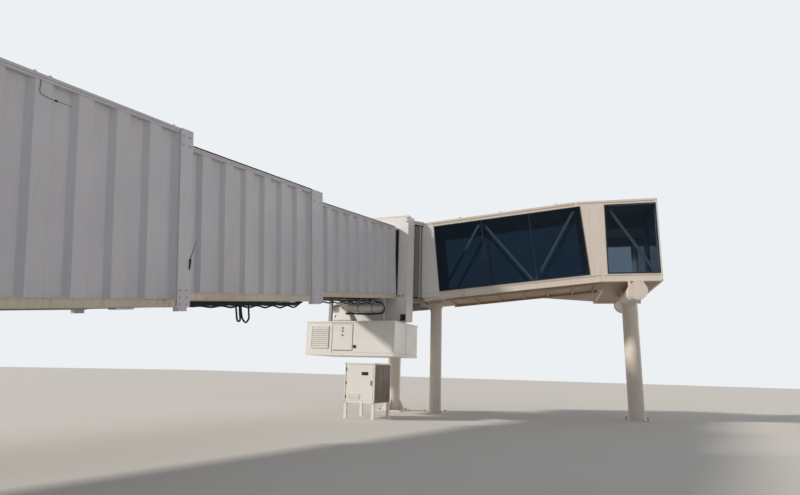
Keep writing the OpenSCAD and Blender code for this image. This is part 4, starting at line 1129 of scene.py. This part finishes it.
def bundle(name, body, x_from, y_from, y_to, ceiling, sag, loops=()):
    """Cables tied under a floor with this underside, and the loops that hang from them."""
    runs = []
    ties = max(3, round(abs(y_to - y_from) / TIE_PITCH))
    for i, (aside, drop) in enumerate(LAID):
        line = []
        for k in range(2 * ties + 1):
            share = k / (2 * ties)
            depth = sag * drop * min(1, 8 * share + 0.25, 8 * (1 - share) + 0.25)
            slack = 0.016 * drop * (k % 2) * (1 + i % 3) * (0.4 + share)
            y = y_from + (y_to - y_from) * share
            line.append((x_from + 0.04 * aside, y, ceiling - 0.02 - depth - slack))
        runs.append(cable("run", smoothed(line, 3), CABLE))
    top = ceiling - sag
    for y, low, wide in loops:
        line = [(x_from + 0.05, y, top), (x_from + 0.07, y, (top + low) / 2),
                (x_from + 0.08, y + wide * 0.1, low + wide * 0.3), (x_from + 0.085, y + wide * 0.5, low),
                (x_from + 0.08, y + wide * 0.9, low + wide * 0.3),
                (x_from + 0.06, y + wide, (top + low) / 2), (x_from + 0.05, y + wide, top)]
        runs.append(cable("loop", smoothed(line), 0.04))
    piece = fit(name, runs, body, seal_rubber, on_slope)
    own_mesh(piece)


bundle("tunnel_a_cables", "rotunda_turn", 0.80, -5.2, -1.55, 0.06, 0.17)
bundle("tunnel_b_cables", "tunnel_b", 0.94, -10.2, -6.1, -0.115, 0.085,
       loops=((-8.60, -0.55, 0.12), (-8.44, -0.58, 0.26)))

# %% [markdown]
# ## A wire and a shoe on tunnel C
# A thin wire comes over the roof's edge, is held by one clip and runs on
# along the ribs. A flat shoe is bolted under the beam on the same side. The
# wire is fixed along its whole length, so it is a tube and not a free cord,
# and the shoe is a plate with softened edges.

# %% The wire, its clip and the shoe
WALL = 1.328
wire = [(WALL - 0.01, -13.157, 2.93), (WALL, -13.155, 2.82), (WALL, -13.15, 2.69),
        (WALL, -12.93, 2.655), (WALL, -12.675, 2.652)]
wire = [cable("wire", smoothed(wire, 4), 0.007),
        panel("clip", (WALL - 0.008, -12.95, 2.642), (WALL + 0.01, -12.91, 2.668), 0.004)]
fit("tunnel_c_wire", wire, "tunnel_c", seal_rubber, on_slope)
shoe = panel("shoe", (1.22, -11.87, -0.278), (1.37, -11.52, -0.252), 0.006)
fit("tunnel_c_shoe", [shoe], "tunnel_c", galvanised, on_slope)

# %% [markdown]
# ## The hoses to the air unit
# Two hoses leave the floor of tunnel A near the portal, turn back under it in
# a wide bend and go into the hood of the air duct. Both ends are held, so
# they are free hoses of a known length.

# %% Two hoses in one bend
HOSE = 0.035
route = [(0.80, -3.82, 3.875), (0.80, -3.82, 3.845), (0.816, -3.815, 3.775), (0.859, -3.805, 3.719),
         (0.922, -3.79, 3.686), (0.985, -3.77, 3.676), (1.074, -3.74, 3.652), (1.139, -3.71, 3.588),
         (1.163, -3.68, 3.50), (1.139, -3.655, 3.412), (1.074, -3.635, 3.348), (0.985, -3.625, 3.324),
         (0.86, -3.62, 3.317), (0.68, -3.62, 3.313), (0.50, -3.62, 3.312), (0.20, -3.60, 3.322),
         (-0.05, -3.56, 3.342), (-0.22, -3.50, 3.358), (-0.36, -3.43, 3.362), (-0.42, -3.39, 3.362)]
for i, shift in enumerate(((0, 0, 0), (0.012, -0.05, 0.022))):
    line = smoothed([Vector(point) + Vector(shift) for point in route], 5)
    name = "air_unit_hose_%d" % (i + 1)
    piece = fit(name, [cable(name, line, HOSE)], "rotunda_turn", seal_rubber)
